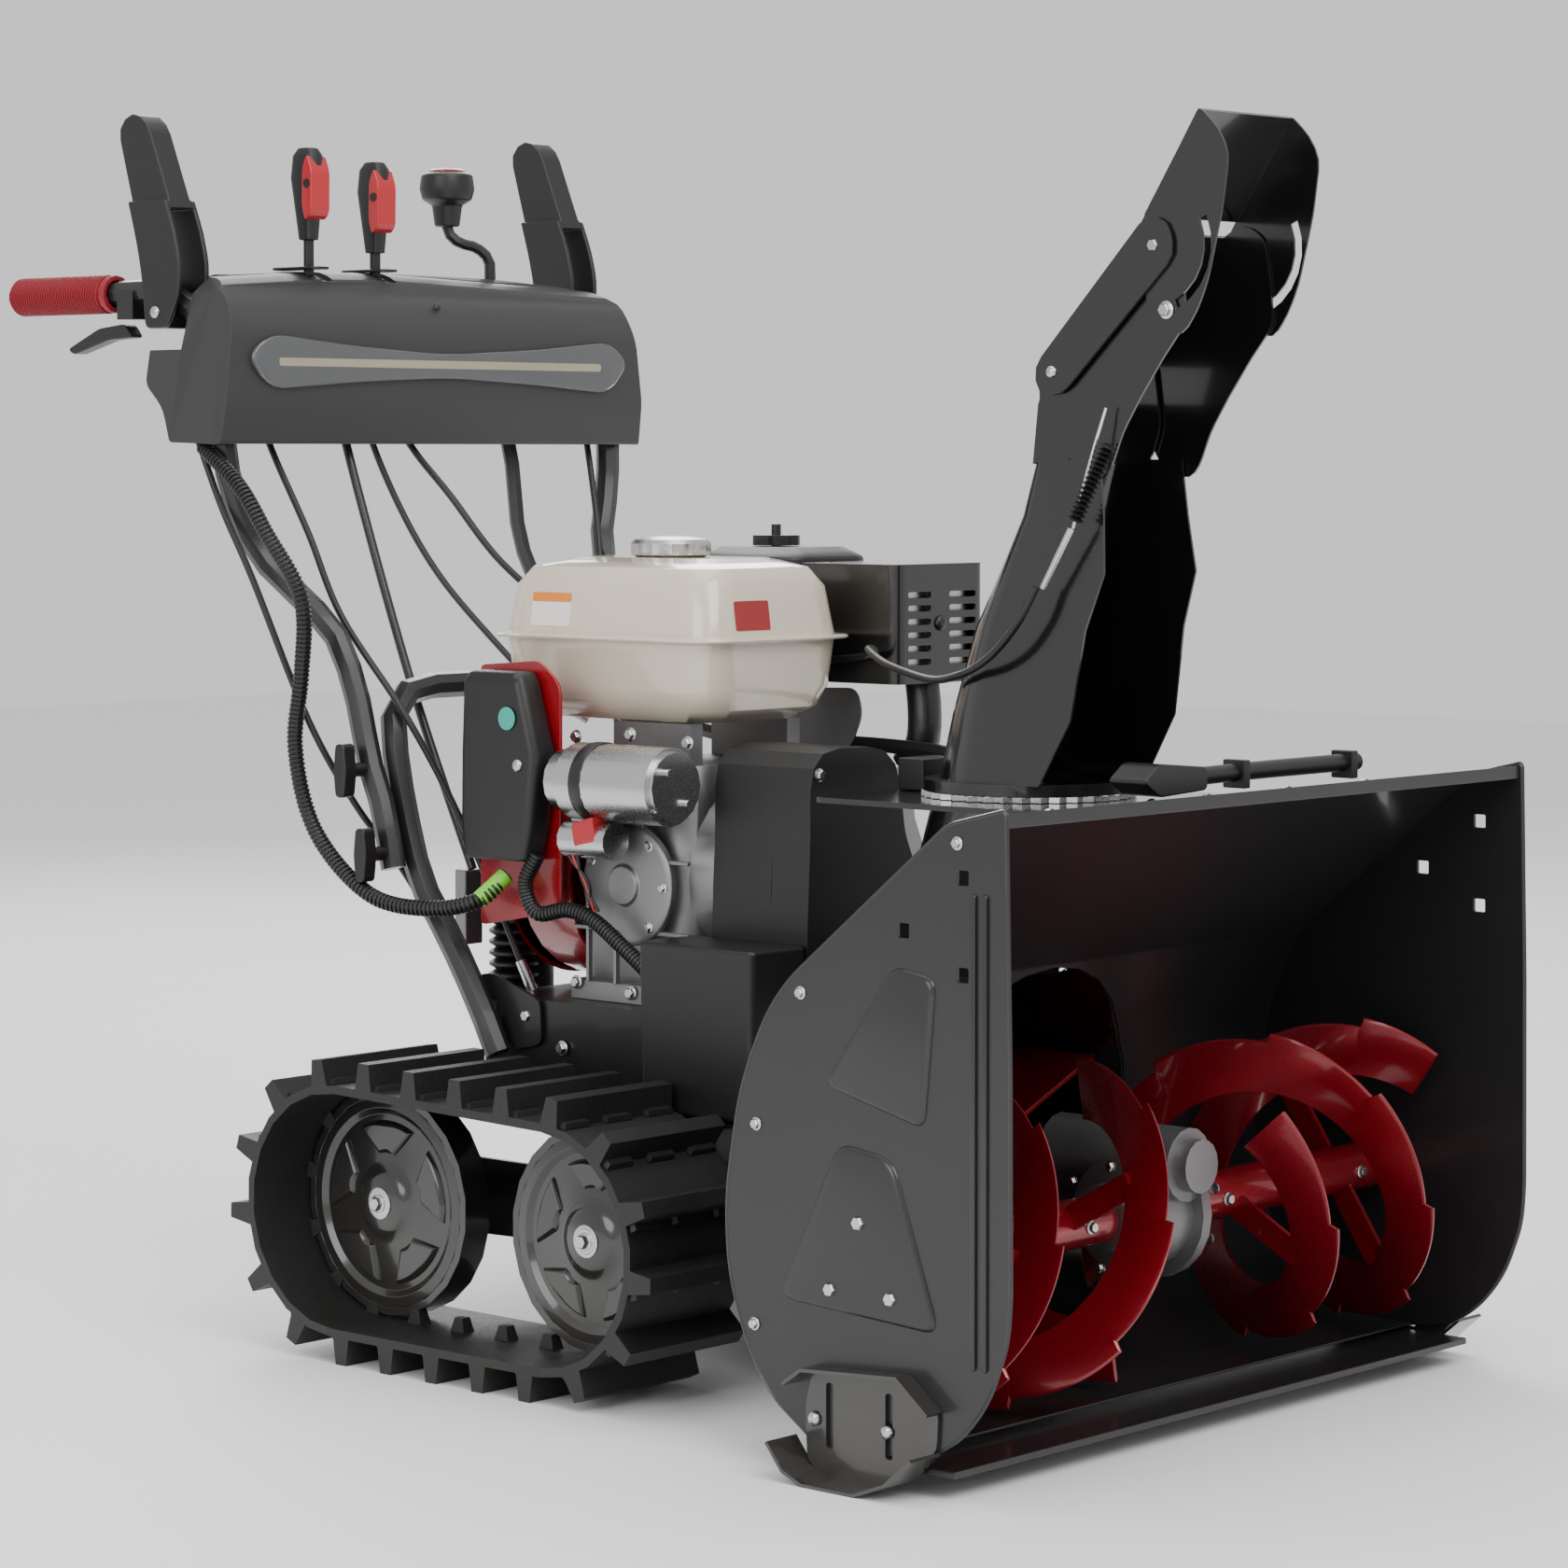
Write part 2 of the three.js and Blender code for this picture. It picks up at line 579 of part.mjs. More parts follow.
function beltCover() {
  const low = [[-103, 336], [-103, 450], [-100, 500, 20], [88, 500, 30], [92, 400, 20], [92, 336]];
  const tall = [
    [-104, 350, 4], [-104, 420, 16], [-100, 500, 10], [-100, 584, 46], [22, 582, 46], [34, 500, 10],
    [70, 420, 30], [82, 350, 4],
  ];
  const shell = join(
    pushed('X', outline(low), 113, 186),
    pushed('X', outline(tall), 113, 232),
  );
  const hollow = join(
    pushed('X', outline([[-99, 200], [-99, 450], [-96, 496, 18], [84, 496, 26], [88, 400, 18], [88, 200]]), 100, 182),
    pushed('X', outline([[-96, 340], [-96, 500], [-96, 580, 43], [18, 578, 43], [30, 500], [60, 340]]), 100, 228),
  );
  return cut(shell, hollow);
}

add('transmission_frame', transmissionFrame(), SATIN_BLACK);
add('transmission_case', transmissionCase(), CAST);
add('drive_belt', beltLoop(145, 155), RUBBER);
add('belt_cover', beltCover(), BLACK_PLASTIC);
add('battery_box', loft([
  roundedRing(90, 230, -177, -107, 246, 5, 2),
  roundedRing(88, 232, -180, -105, 404, 5, 2),
]), BLACK_PLASTIC);

// ---------------------------------------------------------------- engine
function crankcase() {
  const body = loft([
    roundedRing(-62, 78, -96, 96, 349, 16, 3),
    roundedRing(-66, 82, -104, 104, 400, 26, 3),
    roundedRing(-66, 82, -104, 104, 480, 30, 3),
    roundedRing(-54, 72, -88, 88, 560, 30, 3),
  ]);
  const feet = loft([
    roundedRing(-62, 78, -118, 118, ENGINE_BASE, 6, 2),
    roundedRing(-62, 78, -116, 116, 352, 6, 2),
  ]);
  const cover = bar('X', 96, 76, 100, 0, CRANKSHAFT_Z + 4, 24, 88);
  const boss = bar('X', 34, 98, 112, 0, CRANKSHAFT_Z, 16);
  const mounts = [-1, 1].map((hand) => block(-40, 60, ...span(hand, 60, 78), 540, 599));
  const shaftRoom = bar('X', 13.5, 40, 120, 0, CRANKSHAFT_Z, 12);
  return cut(join(body, feet, cover, boss, ...mounts), shaftRoom);
}

function cylinder() {
  const lean = (25 * Math.PI) / 180;
  const pieces = [new THREE.BoxGeometry(96, 190, 96).translate(0, 45, 0)];
  for (let k = 0; k < 9; k += 1) {
    pieces.push(new THREE.BoxGeometry(142, 3.5, 148).translate(0, 8 + k * 12, 0));
  }
  pieces.push(new THREE.BoxGeometry(126, 30, 128).translate(0, 133, 0));
  const whole = join(...pieces);
  whole.rotateX(lean).translate(4, 112, 424);
  return cut(whole, block(-100, 100, 0, 104.5, 300, 600));
}

function fuelTank() {
  return loft([
    roundedRing(-150, 74, -72, 72, 600, 30),
    roundedRing(-168, 92, -88, 88, 612, 36),
    roundedRing(-177, 100, -95, 95, 632, 36),
    roundedRing(-181, 104, -99, 99, 676, 34),
    roundedRing(-191, 114, -109, 109, 677, 38),
    roundedRing(-191, 114, -109, 109, 681, 38),
    roundedRing(-181, 104, -99, 99, 682, 34),
    roundedRing(-175, 98, -93, 93, 728, 36),
    roundedRing(-163, 86, -82, 82, 746, 36),
    roundedRing(-133, 56, -54, 54, 755, 30),
  ]);
}

function fanCover() {
  const shell = bar('X', 104, -142, -68, 0, CRANKSHAFT_Z, 24, 112);
  const recoil = bar('X', 80, -160, -140, 0, CRANKSHAFT_Z, 20, 90);
  const bracket = side([[-150, 400], [-150, 652], [-70, 658, 8], [-42, 636, 10], [-42, 420]], -149, -145.5, 6);
  const web = block(-142, -80, -147, -80, 420, 540);
  const hollow = bar('X', 100, -137, -60, 0, CRANKSHAFT_Z, 24, 108);
  return cut(join(shell, recoil, bracket, web), hollow);
}

function mufflerGuard() {
  const outer = loft([
    roundedRing(22, 151, 118, 250, 632, 12, 3),
    roundedRing(22, 151, 118, 250, 736, 12, 3),
    roundedRing(30, 143, 126, 242, 748, 10, 3),
  ]);
  const inner = loft([
    roundedRing(25, 148, 121, 247, 620, 10, 3),
    roundedRing(25, 148, 121, 247, 735, 10, 3),
    roundedRing(31, 142, 127, 241, 745.5, 9, 3),
  ]);
  const slots = [];
  for (let row = 0; row < 6; row += 1) {
    const z = 653 + row * 13;
    slots.push(block(145, 157, 134, 168, z, z + 6));
    slots.push(block(145, 157, 196, 236, z, z + 6));
  }
  return cut(outer, inner, ...slots);
}

function exhaustElbow() {
  return rod([[122, 184, 655], [131, 182, 602], [129, 180, 570], [112, 178, 550]], 17, 12, 10);
}

function airCleaner() {
  const caseBox = loft([
    roundedRing(-136, 12, 120, 246, 640, 20, 3),
    roundedRing(-140, 15, 118, 250, 700, 26, 3),
    roundedRing(-136, 11, 121, 247, 752, 28, 3),
    roundedRing(-120, -5, 136, 231, 762, 24, 3),
  ]);
  const duct = block(-60, -20, 140, 180, 588, 645);
  return cut(join(caseBox, duct), bar('Z', 5.4, 740, 770, -66, 184, 12));
}

function starterMotor() {
  const body = bar('X', 37, -14, 104, -150, 546, 20);
  const cap = bar('X', 33, 103, 110, -150, 546, 16);
  const nose = bar('X', 30, -34, -12, -150, 546, 16);
  const solenoid = bar('X', 18, -20, 40, -158, 492, 14);
  const bridge = block(-16, 20, -160, -146, 500, 520);
  return join(body, cap, nose, solenoid, bridge);
}

function controlBox() {
  const inner = -149.5;
  return loft([
    roundedRing(-144, -60, -180, inner, 468, 8, 3),
    roundedRing(-146, -50, -184, inner, 500, 10, 3),
    roundedRing(-145, -42, -184, inner, 570, 10, 3),
    roundedRing(-144, -64, -182, inner, 640, 10, 3),
    roundedRing(-138, -72, -176, inner, 648, 7, 3),
  ]);
}

function knurledKnob(radius, height, lobes, depth) {
  const shape = new THREE.Shape();
  const count = lobes * 4;
  for (let i = 0; i < count; i += 1) {
    const angle = (i / count) * Math.PI * 2;
    const r = radius - (i % 4 === 0 ? depth : 0);
    if (i === 0) shape.moveTo(r, 0);
    else shape.lineTo(r * Math.cos(angle), r * Math.sin(angle));
  }
  shape.closePath();
  return pushed('Z', shape, 0, height);
}

add('crankcase', crankcase(), CAST);
add('engine_cylinder', cylinder(), CAST);
add('engine_pulley', join(
  pulley(43, 140, 176, CRANKSHAFT_Z, 5),
  bar('X', 12.6, 60, 186, 0, CRANKSHAFT_Z, 12),
), ZINC);
add('fuel_tank', fuelTank(), CREAM);
add('fuel_cap', join(
  knurledKnob(39, 14, 8, 3).translate(-38, 0, 756),
  bar('Z', 33, 755.4, 773, -38, 0, 16),
), ZINC);
add('fan_cover', fanCover(), COVER_RED);
add('control_box', controlBox(), BLACK_PLASTIC);
add('starter_motor', starterMotor(), ZINC);
add('muffler', join(
  loft([roundedRing(34, 139, 130, 238, 640, 18), roundedRing(34, 139, 130, 238, 728, 18)]),
  exhaustElbow(),
), SATIN_BLACK);
add('muffler_guard', mufflerGuard(), SATIN_BLACK);
add('air_cleaner', airCleaner(), BLACK_PLASTIC);
add('air_cleaner_knob', join(
  knurledKnob(24, 10, 5, 5).translate(-66, 184, 763),
  bar('Z', 5, 744, 784, -66, 184, 12),
), BLACK_PLASTIC);

// ---------------------------------------------------------------- tracks
function trackBelt(hand) {
  const rear = { x: REAR_WHEEL.x, z: REAR_WHEEL.z, r: REAR_WHEEL.belt };
  const front = { x: DRIVE_WHEEL.x, z: DRIVE_WHEEL.z, r: DRIVE_WHEEL.belt };
  const outerPoints = hullOutline(rear, front, 11);
  const shrink = (wheel) => ({ ...wheel, r: wheel.r - TRACK.belt });
  const innerPoints = hullOutline(shrink(rear), shrink(front), 11);
  const band = cut(side(outerPoints, TRACK.inner, TRACK.outer), side(innerPoints, TRACK.inner - 1, TRACK.outer + 1));
  const pieces = [band];
  const path = new THREE.Path(outerPoints.map(([x, z]) => new THREE.Vector2(x, z)));
  path.closePath();
  for (let k = 0; k < TRACK.lugs; k += 1) {
    const share = (k + 0.35) / TRACK.lugs;
    const point = path.getPointAt(share);
    const along = path.getTangentAt(share);
    const outwards = new THREE.Vector2(along.y, -along.x);
    const at = (a, o) => [point.x + along.x * a + outwards.x * o, point.y + along.y * a + outwards.y * o];
    const lug = [at(-11, -3), at(11, -3), at(7, TRACK.lug), at(-7, TRACK.lug)];
    pieces.push(side(lug, TRACK.inner, TRACK.outer));
  }
  return mirrored(join(...pieces), hand);
}

function wheelDisc(wheel, hand) {
  const rim = wheel.belt - TRACK.belt - 2.5;
  const profile = [
    [13, WHEEL_Y - 14], [40, WHEEL_Y - 14], [rim - 10, WHEEL_Y - 9], [rim - 8, WHEEL_Y - 16],
    [rim, WHEEL_Y - 16], [rim, WHEEL_Y + 16], [rim - 8, WHEEL_Y + 16], [rim - 10, WHEEL_Y - 4],
    [34, WHEEL_Y - 6], [26, WHEEL_Y + 20], [13, WHEEL_Y + 20],
  ];
  return mirrored(turned(profile, wheel.x, wheel.z, 22), hand);
}

function trackFrame() {
  const axle = bar('Y', 12, -268, 268, REAR_WHEEL.x, REAR_WHEEL.z, 14);
  const plates = [-1, 1].map((hand) => side(
    [[-184, 165], [-184, 120], [-150, 104], [120, 112], [140, 130], [140, 152], [118, 168], [40, 178], [-140, 178]],
    ...span(hand, 160, 165),
  ));
  const cross = block(-126, -98, -162, 162, 116, 150);
  const room = bar('Y', 13.5, -170, 170, DRIVE_WHEEL.x, DRIVE_WHEEL.z, 14);
  return cut(join(axle, cross, ...plates), room);
}

SIDES.forEach(([name, hand]) => {
  add(`track_belt_${name}`, trackBelt(hand), RUBBER);
  add(`idler_wheel_${name}`, wheelDisc(REAR_WHEEL, hand), GLOSS_BLACK);
  add(`drive_wheel_${name}`, wheelDisc(DRIVE_WHEEL, hand), GLOSS_BLACK);
});
add('track_frame', trackFrame(), SATIN_BLACK);
add('drive_axle', bar('Y', 12, -276, 276, DRIVE_WHEEL.x, DRIVE_WHEEL.z, 14), ZINC);

// ---------------------------------------------------------------- handles and controls
function handleFrame() {
  const leg = (hand) => [
    [-107, hand * 168, 281], [-127, hand * 170, 321], [-170, hand * 170, 386], [-210, hand * 170, 439],
    [-234, hand * 170, 507], [-250, hand * 168, 570], [-258, hand * 160, 606], [-262, hand * 132, 624],
    [-262, hand * 90, 626],
  ];
  const tube = rod([...leg(-1), [-262, 0, 626], ...leg(1).reverse()], 13, 8, 30);
  const feet = [-1, 1].map((hand) => side(
    [[-150, 352], [-128, 356], [-64, 334], [-62, 292], [-100, 284], [-138, 320]],
    ...span(hand, 151, 155),
    8,
  ));
  const links = [-1, 1].map((hand) => block(-136, -116, ...span(hand, 152, 162), 308, 330));
  return join(tube, ...feet, ...links);
}

// The tube with the lug that the clutch lever turns on, which fits between the lever's cheeks.
function upperHandle(hand) {
  const tube = rod([
    [-218, hand * 200, 454], [-235, hand * 200, 517], [-252, hand * 200, 556], [-270, hand * 200, 620],
    [-293, hand * 208, 680], [-328, hand * 222, 716], [-367, hand * 242, 760], [-380, hand * 264, 823],
    [-386, hand * 270, 880], [-396, hand * HANDLE_Y, 950], [-424, hand * HANDLE_Y, 998],
    [-470, hand * HANDLE_Y, GRIP_Z], [-560, hand * HANDLE_Y, GRIP_Z], [-686, hand * HANDLE_Y, GRIP_Z],
  ], 12.5, 8, 26);
  const lug = block(-472, -444, ...span(hand, HANDLE_Y - 14, HANDLE_Y + 14), 978, GRIP_Z - 4);
  const clamp = block(-524, -500, ...span(hand, HANDLE_Y - 14, HANDLE_Y + 14), 988, GRIP_Z + 2);
  return join(tube, lug, clamp);
}

function grip(hand) {
  const profile = [
    [13.4, -687], [0, -687], [0, REAR_X], [14, REAR_X], [17, -690], [17.5, -650], [16.5, -612], [16.5, -552],
    [19, -546], [19, -540], [13.4, -540],
  ];
  const points = profile.map(([r, x]) => new THREE.Vector2(r, x));
  points.push(points[0]);
  const geometry = new THREE.LatheGeometry(points, 14);
  return geometry.rotateZ(-Math.PI / 2).translate(0, hand * HANDLE_Y, GRIP_Z);
}

// The panel's outer form, or with an inset the hollow inside it, which opens downwards and rearwards.
function dashForm(profile, inset) {
  const form = side(profile, -300 + inset, 300 - inset, 0, 3);
  const slope = inset * 1.2;
  const wedges = [-1, 1].flatMap((hand) => {
    const plan = [[-330, 282], [-330, 320], [-480, 320], [-480, 304], [-400, 302], [-372, 297]];
    const shoulder = [[262, 1060], [320, 1002], [320, 1060]];
    return [
      pushed('Z', outline(plan.map(([x, y]) => [x - slope, hand * (y - slope)])), 840, 1060),
      pushed('X', outline(shoulder.map(([y, z]) => [hand * y, z - slope])), -520, -340),
    ];
  });
  return cut(form, ...wedges);
}

function dashPanel() {
  const profile = [
    [-362, 864, 4], [-355, 905, 10], [-356, 985, 14], [-372, 1022, 22], [-400, 1038, 20], [-462, 1040, 16],
    [-466, 925, 8], [-440, 900, 12], [-430, 866, 4],
  ];
  const inside = [
    [-366, 850], [-361, 905, 8], [-362, 983, 12], [-377, 1018, 20], [-402, 1034, 18], [-500, 1035],
    [-500, 850],
  ];
  const handleRoom = [-1, 1].map((hand) => block(-480, -418, ...span(hand, 249, 320), 962, 1060));
  const slots = [-143, -50].map((y) => block(-450, -380, y - 8, y + 8, 1028, 1045));
  const crankHole = bar('Z', 9, 1020, 1050, -431, 140, 16);
  return cut(dashForm(profile, 0), dashForm(inside, 4), ...handleRoom, ...slots, crankHole);
}

function lightLens() {
  const half = [[0, 955, 30], [-130, 962, 40], [-236, 972, 14], [-266, 950, 8], [-236, 918, 14], [-130, 926, 40], [0, 932, 30]];
  const other = half.slice(1, -1).reverse().map(([y, z, r]) => [-y, z, r]);
  return pushed('X', outline([...half, ...other]), -354.5, -349, 4);
}

// The lower half is a fork: its cheeks pass either side of the handle tube when the lever is pulled down.
function clutchLever(hand) {
  const blade = [
    [-442, 978, 6], [-424, 1010, 10], [-422, 1040, 10], [-430, 1072, 14], [-455, 1130, 20], [-477, 1182, 14],
    [-500, 1194, 12], [-522, 1178, 14], [-505, 1120, 20], [-487, 1062, 14], [-480, 1030, 10], [-474, 978, 6],
  ];
  const body = side(blade, HANDLE_Y - 20, HANDLE_Y + 20);
  const grooves = [-1, 1].map((way) => side(
    [[-560, 1104], [-400, 1104], [-440, 1240], [-560, 1240]],
    ...(way > 0 ? [HANDLE_Y + 14, HANDLE_Y + 30] : [HANDLE_Y - 30, HANDLE_Y - 14]),
  ));
  const fork = block(-520, -400, HANDLE_Y - 14.5, HANDLE_Y + 14.5, 960, 1096);
  return mirrored(cut(body, fork, ...grooves), hand);
}

function heightTrigger() {
  const pad = side([[-520, 984], [-508, 970], [-545, 968], [-600, 954], [-609, 960], [-560, 980]], -281, -265, 5);
  return pad;
}

function controlLever(x, y, topZ) {
  const stem = block(x - 3, x + 3, y - 5, y + 5, 960, topZ - 80);
  const handle = loft([
    roundedRing(x - 9, x + 9, y - 8, y + 8, topZ - 92, 5, 2),
    roundedRing(x - 14, x + 12, y - 10, y + 10, topZ - 60, 7, 2),
    roundedRing(x - 19, x + 17, y - 12, y + 12, topZ - 30, 9, 2),
    roundedRing(x - 17, x + 15, y - 11, y + 11, topZ - 8, 9, 2),
    roundedRing(x - 10, x + 9, y - 8, y + 8, topZ, 6, 2),
  ]);
  return join(stem, handle);
}

function chuteCrank() {
  return rod([
    [-431, 140, 980], [-431, 140, 1040], [-432, 139, 1058], [-438, 128, 1070], [-446, 108, 1076],
    [-452, 100, 1086], [-453, 99, 1100], [-453, 99, 1138],
  ], 6, 8, 20);
}

function crankKnob() {
  const outer = [
    [7, 1092], [13, 1092], [16, 1114], [26, 1120], [29, 1131], [27, 1146], [18, 1150], [0, 1150],
    [0, 1141], [7, 1141],
  ];
  const points = [...outer, outer[0]].map(([r, z]) => new THREE.Vector2(r, z));
  return new THREE.LatheGeometry(points, 20).rotateX(Math.PI / 2).translate(-453, 99, 0);
}

add('handle_frame', handleFrame(), SATIN_BLACK);
SIDES.forEach(([name, hand]) => {
  add(`upper_handle_${name}`, upperHandle(hand), SATIN_BLACK);
  add(`grip_${name}`, grip(hand), RED_GRIP);
  add(`clutch_lever_${name}`, clutchLever(hand), BLACK_PLASTIC);
});
add('dash_panel', dashPanel(), DARK_PLASTIC);
add('light_lens', lightLens(), CLEAR);
add('height_trigger', heightTrigger(), BLACK_PLASTIC);
add('speed_lever', controlLever(-400, -143, 1160), BLACK_PLASTIC);
add('deflector_lever', controlLever(-403, -50, 1150), BLACK_PLASTIC);
add('chute_crank', chuteCrank(), SATIN_BLACK);
add('crank_knob', crankKnob(), BLACK_PLASTIC);

// ---------------------------------------------------------------- strut and held cables
add('gas_strut', join(
  bar('Z', 22, 262, 470, -230, 0, 18),
  bar('Z', 9, 470, 610, -230, 0, 12),
), RUBBER);

add('wiring_conduit', rod([
  [-392, -288, 861], [-339, -289, 823], [-306, -284, 778], [-274, -268, 715],
  [-284, -259, 643], [-299, -254, 570], [-282, -244, 490], [-220, -232, 432], [-157, -212, 420],
  [-110, -190, 430], [-99, -166, 452],
], 7, 7, 30), BLACK_PLASTIC);

add('deflector_cable', rod([
  [488, -90, 738], [472, -96, 706], [448, -98, 680], [420, -94, 664], [385, -80, 655], [340, -52, 650],
  [297, -30, 652], [240, -4, 660], [190, 30, 670], [156, 76, 668], [124, 108, 660], [60, 109, 654],
  [-80, 109, 652], [-172, 105, 660], [-236, 60, 690], [-282, 10, 745], [-328, -18, 813], [-376, -22, 858],
], 3.5, 6, 38), BLACK_PLASTIC);

add('flex_shaft', rod([
  [-431, 140, 962], [-415, 140, 900], [-400, 140, 850], [-385, 140, 760], [-345, 142, 700], [-262, 150, 662],
  [-200, 156, 606], [-140, 150, 577], [0, 150, 572], [130, 148, 570], [230, 120, 566], [280, 84, 561],
  [290, 62, 560],
], 8, 6, 32), BLACK_PLASTIC);

export default part;
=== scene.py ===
"""Looks of the two stage snowblower, in metres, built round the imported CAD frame."""
import json
import math

import bmesh
import bpy
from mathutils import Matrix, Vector


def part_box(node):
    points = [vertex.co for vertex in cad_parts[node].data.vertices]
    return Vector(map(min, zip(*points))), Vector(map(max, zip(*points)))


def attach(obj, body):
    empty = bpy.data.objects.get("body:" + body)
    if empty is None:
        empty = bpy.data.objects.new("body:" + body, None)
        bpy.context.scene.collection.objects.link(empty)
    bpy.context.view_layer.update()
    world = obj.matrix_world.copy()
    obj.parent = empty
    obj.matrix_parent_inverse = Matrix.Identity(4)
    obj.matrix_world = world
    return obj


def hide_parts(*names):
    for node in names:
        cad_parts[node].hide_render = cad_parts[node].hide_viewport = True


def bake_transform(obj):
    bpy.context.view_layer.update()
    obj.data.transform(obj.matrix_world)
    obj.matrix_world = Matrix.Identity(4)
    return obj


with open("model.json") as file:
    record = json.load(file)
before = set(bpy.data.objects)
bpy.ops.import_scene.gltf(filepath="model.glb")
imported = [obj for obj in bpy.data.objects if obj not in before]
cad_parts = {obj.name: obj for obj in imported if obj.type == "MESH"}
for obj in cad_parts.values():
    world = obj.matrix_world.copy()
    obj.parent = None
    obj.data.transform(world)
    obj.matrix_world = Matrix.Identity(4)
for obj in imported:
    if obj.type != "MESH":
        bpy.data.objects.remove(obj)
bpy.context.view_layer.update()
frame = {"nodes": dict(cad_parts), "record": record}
NODES = frame["nodes"]
BODY_OF = {n: b for b, ns in frame["record"]["behaviour"]["bodies"].items() for n in ns}
SLOT_OF = {s["node"]: s["material_slot"] for s in frame["record"]["subparts"]}
MM = 0.001
ITEMS = []
SIDES = (("right", -1), ("left", 1))


# ---------------------------------------------------------------- shader groups and finishes
def shader_group(name, inputs, outputs):
    tree = bpy.data.node_groups.new(name, "ShaderNodeTree")
    for label, kind, value in inputs:
        socket = tree.interface.new_socket(label, in_out="INPUT", socket_type=kind)
        socket.default_value = value
    for label, kind in outputs:
        tree.interface.new_socket(label, in_out="OUTPUT", socket_type=kind)
    return tree, tree.nodes.new("NodeGroupInput"), tree.nodes.new("NodeGroupOutput")


COLOUR, FLOAT = "NodeSocketColor", "NodeSocketFloat"


def make_skin_group():
    """Slow colour drift, fine grain for roughness and height, and dust that gathers low down."""
    tree, inp, out = shader_group(
        "surface_skin",
        [
            ("Colour", COLOUR, (0.5, 0.5, 0.5, 1)),
            ("Drift Colour", COLOUR, (0.4, 0.4, 0.4, 1)),
            ("Drift Scale", FLOAT, 6),
            ("Grain Scale", FLOAT, 400),
            ("Rough Low", FLOAT, 0.3),
            ("Rough High", FLOAT, 0.5),
            ("Dust", FLOAT, 0),
            ("Dust Height", FLOAT, 0.25),
        ],
        [("Colour", COLOUR), ("Roughness", FLOAT), ("Height", FLOAT)],
    )
    nodes, link = tree.nodes, tree.links.new
    place = nodes.new("ShaderNodeTexCoord")

    def noise(scale_socket, detail):
        node = nodes.new("ShaderNodeTexNoise")
        node.inputs["Detail"].default_value = detail
        link(place.outputs["Object"], node.inputs["Vector"])
        link(inp.outputs[scale_socket], node.inputs["Scale"])
        return node

    drift, grain = noise("Drift Scale", 4), noise("Grain Scale", 2)
    mix = nodes.new("ShaderNodeMix")
    mix.data_type = "RGBA"
    link(drift.outputs["Fac"], mix.inputs[0])
    link(inp.outputs["Colour"], mix.inputs[6])
    link(inp.outputs["Drift Colour"], mix.inputs[7])
    blend = nodes.new("ShaderNodeMath")
    blend.operation = "MULTIPLY_ADD"
    link(drift.outputs["Fac"], blend.inputs[0])
    blend.inputs[1].default_value = 0.6
    link(grain.outputs["Fac"], blend.inputs[2])
    rough = nodes.new("ShaderNodeMapRange")
    rough.inputs["From Min"].default_value = 0.45
    rough.inputs["From Max"].default_value = 1.15
    link(blend.outputs[0], rough.inputs["Value"])
    link(inp.outputs["Rough Low"], rough.inputs["To Min"])
    link(inp.outputs["Rough High"], rough.inputs["To Max"])
    split = nodes.new("ShaderNodeSeparateXYZ")
    link(place.outputs["Object"], split.inputs[0])
    low = nodes.new("ShaderNodeMapRange")
    link(split.outputs["Z"], low.inputs["Value"])
    link(inp.outputs["Dust Height"], low.inputs["From Max"])
    low.inputs["To Min"].default_value = 1
    low.inputs["To Max"].default_value = 0
    amount = nodes.new("ShaderNodeMath")
    amount.operation = "MULTIPLY"
    link(low.outputs[0], amount.inputs[0])
    link(drift.outputs["Fac"], amount.inputs[1])
    strength = nodes.new("ShaderNodeMath")
    strength.operation = "MULTIPLY"
    link(amount.outputs[0], strength.inputs[0])
    link(inp.outputs["Dust"], strength.inputs[1])
    dusty = nodes.new("ShaderNodeMix")
    dusty.data_type = "RGBA"
    dusty.inputs[7].default_value = (0.24, 0.22, 0.19, 1)
    link(strength.outputs[0], dusty.inputs[0])
    link(mix.outputs[2], dusty.inputs[6])
    link(dusty.outputs[2], out.inputs["Colour"])
    link(rough.outputs[0], out.inputs["Roughness"])
    link(grain.outputs["Fac"], out.inputs["Height"])
    return tree


SKIN = make_skin_group()


def finish_of(name, colour, drift, rough, grain, bump, metallic=0, coat=0, dust=0, drift_scale=5,
    **extra):
    """A finish: its colours, roughness range, grain scale and bump depth in metres."""
    material = bpy.data.materials.new(name)
    material.use_nodes = True
    nodes, link = material.node_tree.nodes, material.node_tree.links.new
    shader = nodes["Principled BSDF"]
    skin = nodes.new("ShaderNodeGroup")
    skin.node_tree = SKIN
    for label, value in {
        "Colour": (*colour, 1),
        "Drift Colour": (*drift, 1),
        "Drift Scale": drift_scale,
        "Grain Scale": grain,
        "Rough Low": rough[0],
        "Rough High": rough[1],
        "Dust": dust,
    }.items():
        skin.inputs[label].default_value = value
    link(skin.outputs["Colour"], shader.inputs["Base Color"])
    link(skin.outputs["Roughness"], shader.inputs["Roughness"])
    relief = nodes.new("ShaderNodeBump")
    relief.inputs["Strength"].default_value = 0.35
    relief.inputs["Distance"].default_value = bump
    link(skin.outputs["Height"], relief.inputs["Height"])
    link(relief.outputs["Normal"], shader.inputs["Normal"])
    shader.inputs["Metallic"].default_value = metallic
    shader.inputs["Coat Weight"].default_value = coat
    shader.inputs["Coat Roughness"].default_value = 0.08
    for label, value in extra.items():
        shader.inputs[label.replace("_", " ")].default_value = value
    return material


